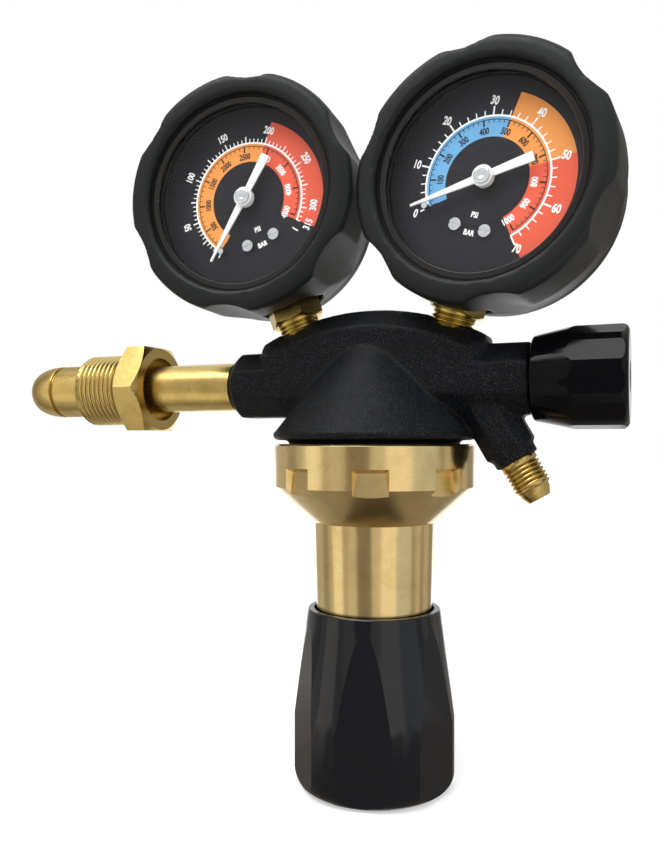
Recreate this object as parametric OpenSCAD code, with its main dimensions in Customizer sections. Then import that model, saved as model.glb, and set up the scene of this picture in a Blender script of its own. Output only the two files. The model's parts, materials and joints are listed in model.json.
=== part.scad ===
// Two-gauge cylinder pressure regulator with a shut-off valve at its outlet.
// X runs from the inlet to the outlet valve, Y to the back and Z up.
// The origin is the middle of the inlet nut's outside thread, on the gas passage's axis.

/* [Body casting] */
// Distance from the middle of the inlet thread to the bonnet axis
inlet_reach = 97.4; // [95:0.2:105]
// Thickness of the casting's plate
plate_t = 21; // [20.4:0.2:24]
// Bevel along the edges of the plate
plate_bevel = 5.5; // [4:0.25:6]
// Radius of the arched top
arch_r = 75; // [72:0.5:80]
// Height of the arched top above the gas passage's axis
arch_rise = 22.1; // [21:0.1:24]
// Half the width of the arched top
arch_half_w = 36; // [35:0.5:39]
// Distance across the flats of the octagonal arms
arm_af = 20.8; // [20:0.2:23]
// Length of the inlet arm from the bonnet axis
inlet_arm_l = 47.6; // [46:0.2:52]
// Length of the outlet arm from the bonnet axis
outlet_arm_l = 48.7; // [47.5:0.1:54]
// Radius of the flange at the foot of the casting
flange_r = 31.5; // [30:0.25:34]
// Distance from the gas passage's axis down to the flange's underside
flange_drop = 17.7; // [17:0.1:20]
// Height of the flange's rim
flange_rim_h = 3; // [2:0.25:5]
// Radius of the threaded spigot that carries the bonnet
spigot_r = 26.4; // [25.5:0.1:27.5]
// Length of the spigot below the flange
spigot_h = 9; // [8:0.25:11]

/* [Branch outlet] */
// Distance from the bonnet axis to the foot of the branch
branch_x = 30.5; // [30:0.25:33]
// Angle between the branch and a line straight down
branch_angle = 30; // [26:1:34]
// Length of the branch from the gas passage's axis
branch_l = 24.2; // [23:0.2:27]
// Distance across the flats of the branch
branch_af = 15; // [14:0.25:17]
// Length of the round collar at the end of the branch
collar_l = 3.3; // [2:0.1:5]
// Radius of the collar
collar_r = 6.6; // [6.2:0.1:7.2]
// Radius over the fitting's flare thread
flare_thread_r = 5.55; // [5.4:0.05:6]
// Length of the flare thread
flare_thread_l = 9.4; // [8:0.2:12]
// Length of the flare nose
flare_nose_l = 3.2; // [2.5:0.1:4]

/* [Inlet] */
// Radius over the nut's outside thread
nut_thread_r = 12.25; // [12:0.05:13]
// Length of the nut's outside thread
nut_thread_l = 19.5; // [17:0.5:22]
// Distance across the flats of the nut
nut_af = 28.6; // [27:0.2:32]
// Length of the nut's hexagon
nut_hex_l = 9.6; // [9:0.2:13]
// Radius of the inlet stem
stem_r = 8; // [7.4:0.1:8.6]
// Radius of the stem's bullet nose
nose_r = 9.2; // [9:0.1:10]
// Length of the bullet nose
nose_l = 22.8; // [20:0.1:25]

/* [Bonnet] */
// Distance by which the flange stands out past the bonnet's ring
ring_inset = 0.5; // [0.25:0.25:1.5]
// Height of the bonnet's ring
ring_h = 13; // [12:0.25:15]
// Height of the cone below the ring
cone_h = 11.1; // [10:0.25:14]
// Radius of the spring housing under the cone
housing_r = 18.7; // [18:0.1:19.2]
// Radius of the spring housing at its lower end
housing_end_r = 17.9; // [17.2:0.1:18.2]
// Distance from the gas passage's axis to the housing's lower end
housing_end_drop = 96; // [94:0.5:97]
// Number of spanner pockets around the ring
pocket_count = 8; // [6:1:8]
// Width of a spanner pocket
pocket_w = 10.2; // [7:0.2:12]
// Height of a spanner pocket
pocket_h = 8.5; // [6:0.25:10]
// Depth of a spanner pocket
pocket_depth = 2.2; // [1.4:0.1:2.8]

/* [Adjusting knob] */
// Distance from the gas passage's axis down to the knob's rim
knob_drop = 69.6; // [66:0.2:72]
// Height of the knob
knob_h = 54.2; // [52:0.2:60]
// Radius of the knob at its rim
knob_rim_r = 20.7; // [20.4:0.1:22]
// Largest radius of the knob
knob_r = 24.8; // [24:0.1:27]
// Height over which the knob widens
knob_taper_h = 33; // [28:0.5:36]
// Number of flutes around the knob
knob_flutes = 6; // [5:1:8]
// Radius over the adjusting screw's thread
screw_r = 6; // [5:0.1:7]
// Travel of the adjusting screw
screw_travel = 10; // [6:0.5:11]

/* [Outlet valve] */
// Length of the valve knob
valve_knob_l = 26; // [24:0.5:30]
// Radius of the valve knob at the arm
valve_knob_rim_r = 12.4; // [12:0.1:13]
// Largest radius of the valve knob
valve_knob_r = 14.7; // [14.2:0.1:16]
// Number of flutes around the valve knob
valve_flutes = 10; // [6:1:12]
// Radius of the valve spindle
spindle_r = 3; // [2.6:0.1:3.3]
// Travel of the valve spindle
valve_travel = 3.75; // [2.5:0.25:3.75]

/* [Gauges] */
// Gap between the two gauges' boots
boot_gap = 0.3; // [0:0.05:2]
// Distance from the arched top to the high-pressure gauge's centre
high_rise = 43; // [41:0.25:46]
// Distance from the arched top to the low-pressure gauge's centre
low_rise = 40; // [39:0.25:46]
// Turn of the high-pressure gauge about its stem
high_turn = 3; // [-2:0.5:6]
// Turn of the low-pressure gauge about its stem
low_turn = -6.5; // [-9:0.5:2]
// Outer radius of the gauge case
case_r = 31; // [30.5:0.1:32]
// Depth of the gauge case
case_depth = 31; // [29:0.5:34]
// Wall of the gauge case
case_wall = 1; // [0.8:0.1:1.3]
// Thickness of the rubber boot over the case
boot_wall = 6.2; // [5.5:0.1:6.8]
// Depth of the hollows around the boot
boot_hollow_depth = 2.3; // [1.8:0.1:3.4]
// Number of hollows around the boot
boot_hollows = 6; // [5:1:8]
// Width by which the boot's front lip covers the case
boot_lap = 0.6; // [0.3:0.1:1.5]
// Distance across the flats of the gauge stem's hexagon
gauge_af = 15.6; // [14:0.2:17]
// Radius over the gauge stem's thread
gauge_thread_r = 6.55; // [6:0.05:7]
// Width of the ring in front of the lens
front_ring_w = 2; // [1.4:0.1:4]
// Length of the pointer from its hub to its tip
pointer_l = 22.5; // [19:0.5:24]
// Angle of the high-pressure pointer at rest, from the horizontal
high_pointer_rest = 220.4; // [212:0.2:226]
// Angle of the low-pressure pointer at rest, from the horizontal
low_pointer_rest = 213; // [208:0.2:226]
// Teeth on the pointer's pinion
pinion_teeth = 12; // [12:1:14]
// Teeth that the sector would have all the way round
sector_teeth = 96; // [90:1:96]
// Module of the pinion and the sector
gear_module = 0.3; // [0.28:0.01:0.3]

/* [Clearances] */
// Radial clearance between a thread or a pressed pin and its hole
thread_play = 0.05; // [0.02:0.01:0.08]
// Radial clearance of a shaft that turns in its hole
running_play = 0.08; // [0.04:0.01:0.1]
// Gap between faces that move past each other
moving_gap = 0.3; // [0.2:0.05:0.4]
// Gap between a closed valve and its seat
seat_gap = 0.15; // [0.1:0.05:0.2]

/* [Hidden] */
$fn = 64;

// Sides of the two gauges: high pressure towards the inlet, low pressure towards the outlet
HIGH = -1;
LOW = 1;
// Reach of a cut past the solid that it opens
cut = 1;

// Body
arm_octagon_r = arm_af / 2 / cos(22.5);
arm_end_bevel = 3.5;
arch_end_bevel = 4;
arch_foot_z = -4;
flange_edge = 1;
skirt_slope = 0.82;
skirt_top_z = -flange_drop + flange_rim_h + (flange_r - plate_t / 2) / skirt_slope;
passage_r = 1.6;
spigot_end_z = -flange_drop - spigot_h;
fitting_shank_l = 8;
fitting_shank_r = collar_r - 1.9;

// Chamber under the diaphragm, nozzle and high-pressure chamber
low_chamber_r = 20;
low_chamber_h = 5;
low_chamber_z = spigot_end_z + low_chamber_h;
nozzle_r = 8.2;
nozzle_top_z = -8;
chamber_r = 6;
chamber_top_z = 9;
nozzle_bore_r = 2;
seat_lip_r = 3.2;
seat_lip_h = 1;
nozzle_hex_r = nozzle_r + 1.3;
nozzle_hex_h = 2;
poppet_r = chamber_r - 1.4;
poppet_z = nozzle_top_z + seat_lip_h + seat_gap;
poppet_t = 3.2;
poppet_guide_r = 1.8;
poppet_guide_h = 3;
poppet_coil_r = 3.4;
poppet_wire_r = 0.5;
poppet_coils = 6;

// Inlet
nut_back_x = nut_thread_l / 2 + nut_hex_l;
arm_end_x = inlet_reach - inlet_arm_l;
stem_shank_r = 6.5;
stem_shank_l = 12;
stem_bore_r = 3;
nose_start_x = -nut_thread_l / 2 - moving_gap;
nose_groove_w = 1.4;
nose_neck_l = 10.2;
nose_tip_r = 4.4;
nut_hole_r = stem_r + moving_gap;
nut_recess_r = 10.85;
nut_recess_l = 5;
filter_l = 14;

// Bonnet and what it holds
bonnet_gap = 1.2;
ring_r = flange_r - ring_inset;
bonnet_top_z = -flange_drop - bonnet_gap;
ring_end_z = bonnet_top_z - ring_h;
cone_end_z = ring_end_z - cone_h;
housing_end_z = -housing_end_drop;
diaphragm_t = 1;
diaphragm_rim_r = spigot_r - 0.2;
slip_ring_t = 1;
shoulder_z = spigot_end_z - diaphragm_t - slip_ring_t;
cavity_r = 17.5;
spring_bore_r = 14;
spring_bore_z = cone_end_z + 2;
housing_floor_t = 12;
spring_floor_z = housing_end_z + housing_floor_t;
plate_r = 15;
plate_top_z = spigot_end_z - diaphragm_t - moving_gap;
diaphragm_plate_t = 2.5;
plate_boss_r = 7;
plate_boss_h = 3;
button_r = 12.5;
button_t = 4;
button_z = spring_floor_z + moving_gap;
main_wire_r = 1.6;
main_coil_r = 10.2;
main_coils = 8;
pin_r = 1.2;
pocket_overrun = 2.6;
pocket_top_z = ring_end_z + pocket_h - pocket_overrun;
pocket_floor_r = ring_r - pocket_depth;
pocket_phase = 17;

// Adjusting knob
knob_rim_z = -knob_drop;
knob_end_z = knob_rim_z - knob_h;
knob_wall = 2;
knob_cavity_r = knob_rim_r - knob_wall;
knob_floor_z = housing_end_z - screw_travel - 1.5;
knob_round = 4.5;
knob_phase = -79;
flat_half_angle = 20;
flat_start = 4;
flat_lead = 1.5;
knob_nut_af = 16;
knob_nut_h = 5;
knob_recess_r = 11;
knob_cap_t = 1.6;
screw_end_r = 4.5;

// Outlet valve
valve_seat_x = 27;
valve_chamber_r = 4.8;
packing_l = 2.5;
valve_disc_r = 3.6;
valve_disc_l = 3.6;
spindle_head_r = 4.4;
spindle_head_l = 2.6;
spindle_pin_r = 1.2;
valve_start_x = valve_seat_x + seat_gap;
spindle_head_x = valve_start_x + valve_disc_l + moving_gap;
valve_chamber_end_x = spindle_head_x + spindle_head_l + valve_travel + moving_gap;
packing_thread_r = 6;
packing_nut_af = 15;
packing_nut_l = 5.5;
valve_knob_gap = 0.4;
valve_knob_x = outlet_arm_l + valve_knob_gap;
valve_cavity_r = 9.8;
valve_cavity_l = 9;
valve_knob_round = 2;
valve_taper_l = 11.4;
valve_phase = 27;
spindle_end_x = valve_knob_x + valve_knob_l - 6;
knob_screw_r = 1.6;
knob_screw_head_r = 4;
knob_screw_seat = 3;
valve_flat_half_angle = 12.5;
valve_flat_start = 6;

// Gauges, drawn with X right, Y up along the stem and Z towards the viewer
gauge_scale_r = 18.3;
case_back = -13;
case_front = case_back + case_depth;
case_bore_r = case_r - case_wall;
boot_back = case_back - 3;
boot_r = case_r + boot_wall;
boot_hollow_r = boot_r - boot_hollow_depth;
boot_opening_r = case_r - boot_lap;
boot_front = case_front + 2.5;
boot_round = 2.2;
boot_skin = 0.2;
boot_lip = boot_front - 2;
boot_back_opening_r = case_r - 7;
boot_taper_start = case_back + 3;
boot_band_l = 15;
boot_taper_end = case_front - boot_band_l;
boot_cutter_r = 22;
high_boot_phase = 5;
low_boot_phase = -5;
boot_stem_hole_r = gauge_af / 2 / cos(30) + 1.2;
dial_inset = 8;
dial_face = case_front - dial_inset;
dial_t = 0.6;
dial_back = dial_face - dial_t;
dial_r = case_bore_r - 0.4;
dial_hole_r = 1.6;
block_w = 15;
block_top = -10.5;
block_corner_r = case_bore_r - 0.6;
block_end = -sqrt(block_corner_r * block_corner_r - block_w * block_w / 4);
socket_neck_r = 6.2;
hex_start = -case_r - 0.4;
hex_lift = 2.6;
port_depth = 10;
screw_x = 4.65;
screw_y = -14;
dial_screw_r = 1;
dial_screw_head_r = 1.8;
dial_sight_r = case_bore_r - front_ring_w;
lens_back = case_front - 2.6;
lens_t = 1.5;
lens_r = case_bore_r - 0.1;
seal_t = 1.2;
arbor_r = 0.8;
pointer_back = dial_face + 2.9;
pointer_t = 0.6;
pointer_hub_r = 3;
tube_r = 23.5;
tube_t = 3.4;
front_plate = dial_face - 3.4;
movement_depth = 9.6;
back_plate = front_plate - movement_depth;
plate_sheet_t = 1;
tube_back = back_plate - 2;
block_back = tube_back + 0.5;
tube_tip_angle = 20;
tube_root_angle = 258;
sector_back = front_plate - 4.6;
sector_t = 1;
tube_w = sector_back + sector_t - tube_back;
pinion_back = sector_back - 0.6;
pinion_t = 2.2;
link_back = sector_back + sector_t + moving_gap;
link_t = 0.7;
gear_distance = gear_module * (pinion_teeth + sector_teeth) / 2;
gear_backlash = 0.035;
sector_tooth_count = 14;
sector_mesh_angle = 180;
sector_pitch_angle = 360 / sector_teeth;
sector_mid_angle = sector_mesh_angle - (sector_tooth_count / 2 - 1.5) * sector_pitch_angle;
tail_l = 4;
tail_rest_angle = -16.5;
tail_x = gear_distance + tail_l * cos(tail_rest_angle);
tail_y = tail_l * sin(tail_rest_angle);
lug_y = 8.6;
link_w = 2;
pillar_r = 1.2;
pillar_x = -4.6;
pillar_low_y = -6.5;
pillar_high_y = 3;
plate_lobe_r = 6.2;
plate_arm_w = 5.2;
plate_end_r = 3;

// Half the width of a boot, seen from the front, once it is turned about its stem
function boot_reach(turn) = boot_r * cos(turn) + (boot_front - boot_round) * abs(sin(turn));

// The gauges lean just so far that their boots stay the gap apart
boots_apart = boot_reach(high_turn) + boot_reach(low_turn) + boot_gap;
gauge_lean = asin(boots_apart / (2 * arch_r + high_rise + low_rise));
gauge_spread = arch_r * sin(gauge_lean);

function of_side(side, high, low) = side == HIGH ? high : low;
function gauge_rise(side) = of_side(side, high_rise, low_rise);
function pointer_rest(side) = of_side(side, high_pointer_rest, low_pointer_rest);

module ring(r, hole_r, h) {
    difference() {
        cylinder(r = r, h = h);
        translate([0, 0, -cut]) cylinder(r = hole_r, h = h + 2 * cut);
    }
}

module along_x(x = 0) {
    translate([x, 0, 0]) rotate([0, 90, 0]) children();
}

// A hexagonal prism with the corners turned off at both ends
module turned_hexagon(af, h) {
    corner_r = af / 2 / cos(30);
    turned_r = af / 2 - 0.2;
    turned_h = (corner_r - turned_r) * 0.58;
    intersection() {
        cylinder(r = corner_r, h = h, $fn = 6);
        rotate_extrude() polygon([
            [0, 0], [turned_r, 0], [corner_r, turned_h],
            [corner_r, h - turned_h], [turned_r, h], [0, h]
        ]);
    }
}

// A round wire wound into a helix, as a closed polyhedron
module coil_spring(coil_r, wire_r, height, turns, steps = 18, sides = 8) {
    rings = turns * steps;
    rise = (height - 2 * wire_r) / rings;
    slope = atan(rise * steps / (2 * PI * coil_r));
    function wire_point(i, j) =
        let (
            a = i * 360 / steps,
            b = j * 360 / sides,
            out = wire_r * cos(b),
            up = wire_r * sin(b)
        )
        [
            (coil_r + out) * cos(a) + up * sin(slope) * sin(a),
            (coil_r + out) * sin(a) - up * sin(slope) * cos(a),
            wire_r + i * rise + up * cos(slope)
        ];
    points = [for (i = [0 : rings]) for (j = [0 : sides - 1]) wire_point(i, j)];
    faces = concat(
        [[for (j = [0 : sides - 1]) j]],
        [[for (j = [sides - 1 : -1 : 0]) rings * sides + j]],
        [for (i = [0 : rings - 1]) for (j = [0 : sides - 1])
            [
                i * sides + j, (i + 1) * sides + j,
                (i + 1) * sides + (j + 1) % sides, i * sides + (j + 1) % sides
            ]]
    );
    polyhedron(points, faces, convexity = 10);
}

module at_bonnet(z = 0) {
    translate([inlet_reach, 0, z]) children();
}

// The branch's own frame: Z runs out along the branch from the gas passage's axis
module along_branch(s = 0) {
    at_bonnet() translate([branch_x, 0, 0]) rotate([0, 180 - branch_angle, 0]) translate([0, 0, s]) children();
}

// The gauge's own frame: X right, Y up along the stem, Z towards the viewer
module at_gauge(side) {
    at_bonnet(arch_rise - arch_r) rotate([0, side * gauge_lean, 0])
        translate([0, 0, arch_r + gauge_rise(side)]) rotate([90, 0, 0])
            rotate([0, of_side(side, high_turn, low_turn), 0]) children();
}

// The same frame turned so that Z runs down the gauge's stem
module down_stem(y = 0) {
    translate([0, y, 0]) rotate([90, 0, 0]) children();
}

module arms() {
    intersection() {
        along_x(-inlet_arm_l) rotate([0, 0, 22.5])
            cylinder(r = arm_octagon_r, h = inlet_arm_l + outlet_arm_l, $fn = 8);
        along_x() rotate_extrude() polygon([
            [0, -inlet_arm_l], [arm_octagon_r - arm_end_bevel, -inlet_arm_l],
            [arm_octagon_r + cut, -inlet_arm_l + arm_end_bevel + cut],
            [arm_octagon_r + cut, outlet_arm_l], [0, outlet_arm_l]
        ]);
    }
}

module arch() {
    half_t = plate_t / 2;
    intersection() {
        translate([0, 0, arch_rise - arch_r]) rotate([90, 0, 0]) rotate_extrude() polygon([
            [0, -half_t], [arch_r - plate_bevel, -half_t], [arch_r, plate_bevel - half_t],
            [arch_r, half_t - plate_bevel], [arch_r - plate_bevel, half_t], [0, half_t]
        ]);
        translate([0, 0, arch_foot_z]) linear_extrude(arch_rise - arch_foot_z + cut) polygon([
            [-arch_half_w, arch_end_bevel - half_t], [arch_end_bevel - arch_half_w, -half_t],
            [arch_half_w - arch_end_bevel, -half_t], [arch_half_w, arch_end_bevel - half_t],
            [arch_half_w, half_t - arch_end_bevel], [arch_half_w - arch_end_bevel, half_t],
            [arch_end_bevel - arch_half_w, half_t], [-arch_half_w, half_t - arch_end_bevel]
        ]);
    }
}

module skirt() {
    rim_top = -flange_drop + flange_rim_h;
    rotate_extrude() polygon([
        [0, -flange_drop], [flange_r - flange_edge, -flange_drop],
        [flange_r, -flange_drop + flange_edge], [flange_r, rim_top - flange_edge],
        [flange_r - flange_edge, rim_top], [plate_t / 2, skirt_top_z], [0, skirt_top_z]
    ]);
    translate([0, 0, spigot_end_z]) cylinder(r = spigot_r, h = spigot_h + cut);
}

module body() {
    color("#26282b") difference() {
        union() {
            at_bonnet() {
                arms();
                arch();
                skirt();
            }
            along_branch() rotate([0, 0, 22.5]) cylinder(r = branch_af / 2 / cos(22.5), h = branch_l, $fn = 8);
            along_branch() cylinder(r = collar_r, h = branch_l + collar_l);
        }
        inlet_bores();
        regulating_bores();
        valve_bores();
        for (side = [HIGH, LOW]) gauge_port(side);
    }
}

module inlet_bores() {
    along_x(arm_end_x - cut) cylinder(r = stem_shank_r + thread_play, h = stem_shank_l + cut);
    along_x(arm_end_x) cylinder(r = passage_r, h = inlet_arm_l - chamber_r / 2);
}

module regulating_bores() {
    at_bonnet() {
        translate([0, 0, spigot_end_z - cut]) cylinder(r = low_chamber_r, h = low_chamber_h + cut);
        translate([0, 0, low_chamber_z - cut]) cylinder(r = nozzle_r, h = nozzle_top_z - low_chamber_z + cut);
        translate([0, 0, nozzle_top_z - cut]) cylinder(r = chamber_r, h = chamber_top_z - nozzle_top_z + cut);
    }
}

// Low-pressure passage, valve chamber and the two bores of the branch
module valve_bores() {
    riser_x = gauge_spread * (1 - arch_rise / arch_r);
    at_bonnet() {
        translate([riser_x, 0, low_chamber_z - cut]) cylinder(r = passage_r, h = -low_chamber_z + cut);
        along_x(riser_x) cylinder(r = nozzle_bore_r, h = valve_seat_x - riser_x + cut);
        along_x(valve_seat_x) cylinder(r = valve_chamber_r, h = valve_chamber_end_x - valve_seat_x);
        along_x(valve_chamber_end_x - cut)
            cylinder(r = packing_thread_r + thread_play, h = outlet_arm_l - valve_chamber_end_x + 2 * cut);
    }
    along_branch() cylinder(r = nozzle_bore_r, h = branch_l);
    along_branch(branch_l - fitting_shank_l)
        cylinder(r = fitting_shank_r + thread_play, h = fitting_shank_l + collar_l + cut);
}

module gauge_port(side) {
    at_gauge(side) down_stem(cut - gauge_rise(side)) {
        cylinder(r = gauge_thread_r + thread_play, h = port_depth + cut);
        cylinder(r = passage_r - 0.3, h = arch_rise / cos(gauge_lean) - plate_bevel / 2 + cut);
    }
}

module inlet_stem() {
    bullet_x = nose_start_x - nose_neck_l - nose_groove_w;
    bullet_l = nose_l - nose_neck_l - nose_groove_w;
    color("#c9a24a") difference() {
        union() {
            along_x(nose_start_x - cut) cylinder(r = stem_r, h = arm_end_x - nose_start_x + cut);
            along_x(arm_end_x - cut) cylinder(r = stem_shank_r, h = stem_shank_l + cut);
            along_x(nose_start_x - nose_neck_l) cylinder(r = nose_r, h = nose_neck_l);
            along_x(bullet_x - cut) cylinder(r = nose_r - 0.9, h = nose_groove_w + 2 * cut);
            along_x(bullet_x) rotate([0, 180, 0]) rotate_extrude() polygon(concat(
                [[0, 0]],
                [for (a = [0 : 10 : 90])
                    [nose_tip_r + (nose_r - nose_tip_r) * cos(a), bullet_l * sin(a)]],
                [[0, bullet_l]]
            ));
        }
        along_x(nose_start_x - nose_l - cut)
            cylinder(r = stem_bore_r, h = arm_end_x + stem_shank_l - nose_start_x + nose_l + 2 * cut);
    }
}

module inlet_filter() {
    color("#a8793c") along_x(arm_end_x + stem_shank_l - filter_l)
        cylinder(r = stem_bore_r - thread_play, h = filter_l);
}

module inlet_nut() {
    lead = 2.2;
    relief = 1.2;
    color("#c9a24a") difference() {
        union() {
            along_x() rotate_extrude() polygon([
                [0, -nut_thread_l / 2], [nut_thread_r - lead, -nut_thread_l / 2],
                [nut_thread_r, lead - nut_thread_l / 2], [nut_thread_r, nut_thread_l / 2 - relief],
                [nut_thread_r - relief, nut_thread_l / 2 - relief],
                [nut_thread_r - relief, nut_thread_l / 2 + cut], [0, nut_thread_l / 2 + cut]
            ]);
            along_x(nut_thread_l / 2) rotate([0, 0, 30]) turned_hexagon(nut_af, nut_hex_l);
        }
        along_x(-nut_thread_l / 2 - cut) cylinder(r = nut_hole_r, h = nut_back_x + nut_thread_l / 2 + 2 * cut);
        along_x(nut_back_x - nut_recess_l) cylinder(r = nut_recess_r, h = nut_recess_l + cut);
    }
}

module outlet_fitting() {
    nose_base_r = flare_thread_r - 1;
    nose_tip_r = flare_thread_r - 2.2;
    thread_end = branch_l + collar_l + flare_thread_l;
    color("#bf9440") difference() {
        union() {
            along_branch(branch_l - fitting_shank_l)
                cylinder(r = fitting_shank_r, h = fitting_shank_l + collar_l + cut);
            along_branch(branch_l + collar_l) rotate_extrude() polygon([
                [0, 0], [flare_thread_r, 0], [flare_thread_r, flare_thread_l - 0.8],
                [nose_base_r, flare_thread_l], [nose_base_r, flare_thread_l + 0.8],
                [nose_tip_r, flare_thread_l + flare_nose_l], [0, flare_thread_l + flare_nose_l]
            ]);
        }
        along_branch(branch_l - fitting_shank_l - cut)
            cylinder(r = nozzle_bore_r, h = thread_end + flare_nose_l - branch_l + fitting_shank_l + 2 * cut);
    }
}

module seat_nozzle() {
    color("#c9a24a") at_bonnet() difference() {
        union() {
            translate([0, 0, low_chamber_z - nozzle_hex_h])
                cylinder(r = nozzle_hex_r, h = nozzle_hex_h, $fn = 6);
            translate([0, 0, low_chamber_z])
                cylinder(r = nozzle_r - thread_play, h = nozzle_top_z - low_chamber_z);
            translate([0, 0, nozzle_top_z]) cylinder(r = seat_lip_r, h = seat_lip_h);
        }
        translate([0, 0, low_chamber_z - nozzle_hex_h - cut])
            cylinder(r = nozzle_bore_r,
                h = nozzle_top_z - low_chamber_z + seat_lip_h + nozzle_hex_h + 2 * cut);
    }
}

module poppet() {
    color("#d8d8d2") at_bonnet(poppet_z) {
        cylinder(r = poppet_r, h = poppet_t);
        translate([0, 0, poppet_t]) cylinder(r = poppet_guide_r, h = poppet_guide_h);
    }
}

module poppet_spring() {
    start = poppet_z + poppet_t;
    color("#b9bcc0") at_bonnet(start)
        coil_spring(poppet_coil_r, poppet_wire_r, chamber_top_z - start, poppet_coils, 16, 6);
}

module push_pin() {
    color("#c2c4c8") at_bonnet(spigot_end_z + moving_gap)
        cylinder(r = pin_r, h = poppet_z - spigot_end_z - moving_gap);
}

module diaphragm() {
    color("#2d2f33") at_bonnet(spigot_end_z - diaphragm_t) cylinder(r = diaphragm_rim_r, h = diaphragm_t);
}

module slip_ring() {
    color("#c9a24a") at_bonnet(shoulder_z) ring(diaphragm_rim_r, low_chamber_r, slip_ring_t);
}

module diaphragm_plate() {
    color("#b9bcc0") at_bonnet() {
        translate([0, 0, plate_top_z - diaphragm_plate_t]) cylinder(r = plate_r, h = diaphragm_plate_t);
        translate([0, 0, plate_top_z - diaphragm_plate_t - plate_boss_h])
            cylinder(r = plate_boss_r, h = plate_boss_h);
    }
}

module bonnet() {
    edge = 0.6;
    color("#c9a24a") at_bonnet() difference() {
        rotate_extrude() polygon([
            [0, bonnet_top_z], [ring_r - edge, bonnet_top_z], [ring_r, bonnet_top_z - edge],
            [ring_r, ring_end_z], [housing_r, cone_end_z], [housing_end_r, knob_rim_z],
            [housing_end_r, housing_end_z + edge], [housing_end_r - edge, housing_end_z],
            [0, housing_end_z]
        ]);
        translate([0, 0, shoulder_z]) cylinder(r = spigot_r + thread_play, h = spigot_h + 2 * diaphragm_t + cut);
        rotate_extrude() polygon([
            [0, shoulder_z + cut], [cavity_r, shoulder_z + cut], [cavity_r, ring_end_z - 2],
            [spring_bore_r, spring_bore_z], [spring_bore_r, spring_floor_z], [0, spring_floor_z]
        ]);
        translate([0, 0, housing_end_z - cut])
            cylinder(r = screw_r + running_play, h = spring_floor_z - housing_end_z + 2 * cut);
        for (i = [0 : pocket_count - 1])
            rotate([0, 0, pocket_phase + i * 360 / pocket_count])
                translate([pocket_floor_r, -pocket_w / 2, pocket_top_z - pocket_h])
                    cube([ring_r, pocket_w, pocket_h]);
    }
}

module main_spring() {
    start = button_z + button_t;
    end = plate_top_z - diaphragm_plate_t;
    color("#8f9398") at_bonnet(start) coil_spring(main_coil_r, main_wire_r, end - start, main_coils, 18, 8);
}

module spring_button() {
    color("#8f9398") at_bonnet(button_z) difference() {
        union() {
            cylinder(r = button_r, h = button_t);
            cylinder(r = main_coil_r - main_wire_r - 0.6, h = button_t + 2);
        }
        translate([0, 0, -cut]) cylinder(r = screw_r / 2 + running_play, h = 2 + cut);
    }
}

module adjusting_screw() {
    tip_z = button_z + 2 - moving_gap;
    shoulder = button_z - moving_gap;
    nut_z = knob_end_z + knob_cap_t + 1;
    color("#9a9da1") at_bonnet() {
        translate([0, 0, shoulder - cut]) cylinder(r = screw_r / 2, h = tip_z - shoulder + cut);
        translate([0, 0, knob_floor_z]) cylinder(r = screw_r, h = shoulder - knob_floor_z);
        translate([0, 0, nut_z]) cylinder(r = screw_end_r, h = knob_floor_z - nut_z + cut);
    }
}

// A knob with its open rim at z = 0, widening towards its closed end, with flats cut down its side
module fluted_knob(h, rim_r, r, taper_h, round_r, flats, half_angle, start) {
    floor_r = r * cos(half_angle);
    start_r = rim_r + (r - rim_r) * start / taper_h - 0.05;
    flat_from = taper_h - flat_lead;
    difference() {
        rotate_extrude() polygon(concat(
            [[0, 0], [rim_r - 0.4, 0], [rim_r, 0.4], [r, taper_h]],
            [for (a = [0 : 15 : 90])
                [r - round_r * (1 - cos(a)), h - round_r * (1 - sin(a))]],
            [[0, h]]
        ));
        for (i = [0 : flats - 1])
            rotate([0, 0, i * 360 / flats]) rotate([90, 0, 0])
                translate([0, 0, -r]) linear_extrude(2 * r) polygon([
                    [start_r, start], [floor_r, flat_from], [floor_r, h + cut],
                    [2 * r, h + cut], [2 * r, start]
                ]);
    }
}

module adjusting_knob() {
    color("#1d2026") at_bonnet() difference() {
        translate([0, 0, knob_rim_z]) rotate([180, 0, 0]) rotate([0, 0, -knob_phase])
            fluted_knob(knob_h, knob_rim_r, knob_r, knob_taper_h, knob_round, knob_flutes,
                flat_half_angle, flat_start);
        translate([0, 0, knob_floor_z]) cylinder(r = knob_cavity_r, h = knob_rim_z - knob_floor_z + cut);
        translate([0, 0, knob_end_z - cut]) cylinder(r = screw_end_r + thread_play, h = knob_h);
        translate([0, 0, knob_end_z - cut])
            cylinder(r = knob_recess_r, h = knob_cap_t + knob_nut_h + 1 + cut);
    }
}

module knob_nut() {
    color("#9a9da1") at_bonnet(knob_end_z + knob_cap_t + 1) difference() {
        turned_hexagon(knob_nut_af, knob_nut_h);
        translate([0, 0, -cut]) cylinder(r = screw_end_r + thread_play, h = knob_nut_h + 2 * cut);
    }
}

module knob_cap() {
    color("#1d2026") at_bonnet(knob_end_z) cylinder(r = knob_recess_r - thread_play, h = knob_cap_t);
}

module valve_disc() {
    color("#d8d8d2") at_bonnet() along_x(valve_start_x) difference() {
        cylinder(r = valve_disc_r, h = valve_disc_l);
        translate([0, 0, 1.4]) cylinder(r = spindle_pin_r + running_play, h = valve_disc_l);
    }
}

module valve_spindle() {
    color("#c9a24a") at_bonnet() {
        along_x(valve_start_x + 1.4 + moving_gap) cylinder(r = spindle_pin_r, h = valve_disc_l);
        along_x(spindle_head_x) cylinder(r = spindle_head_r, h = spindle_head_l);
        along_x(spindle_head_x + spindle_head_l - cut)
            cylinder(r = spindle_r, h = spindle_end_x - spindle_head_x - spindle_head_l + cut);
    }
}

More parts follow.
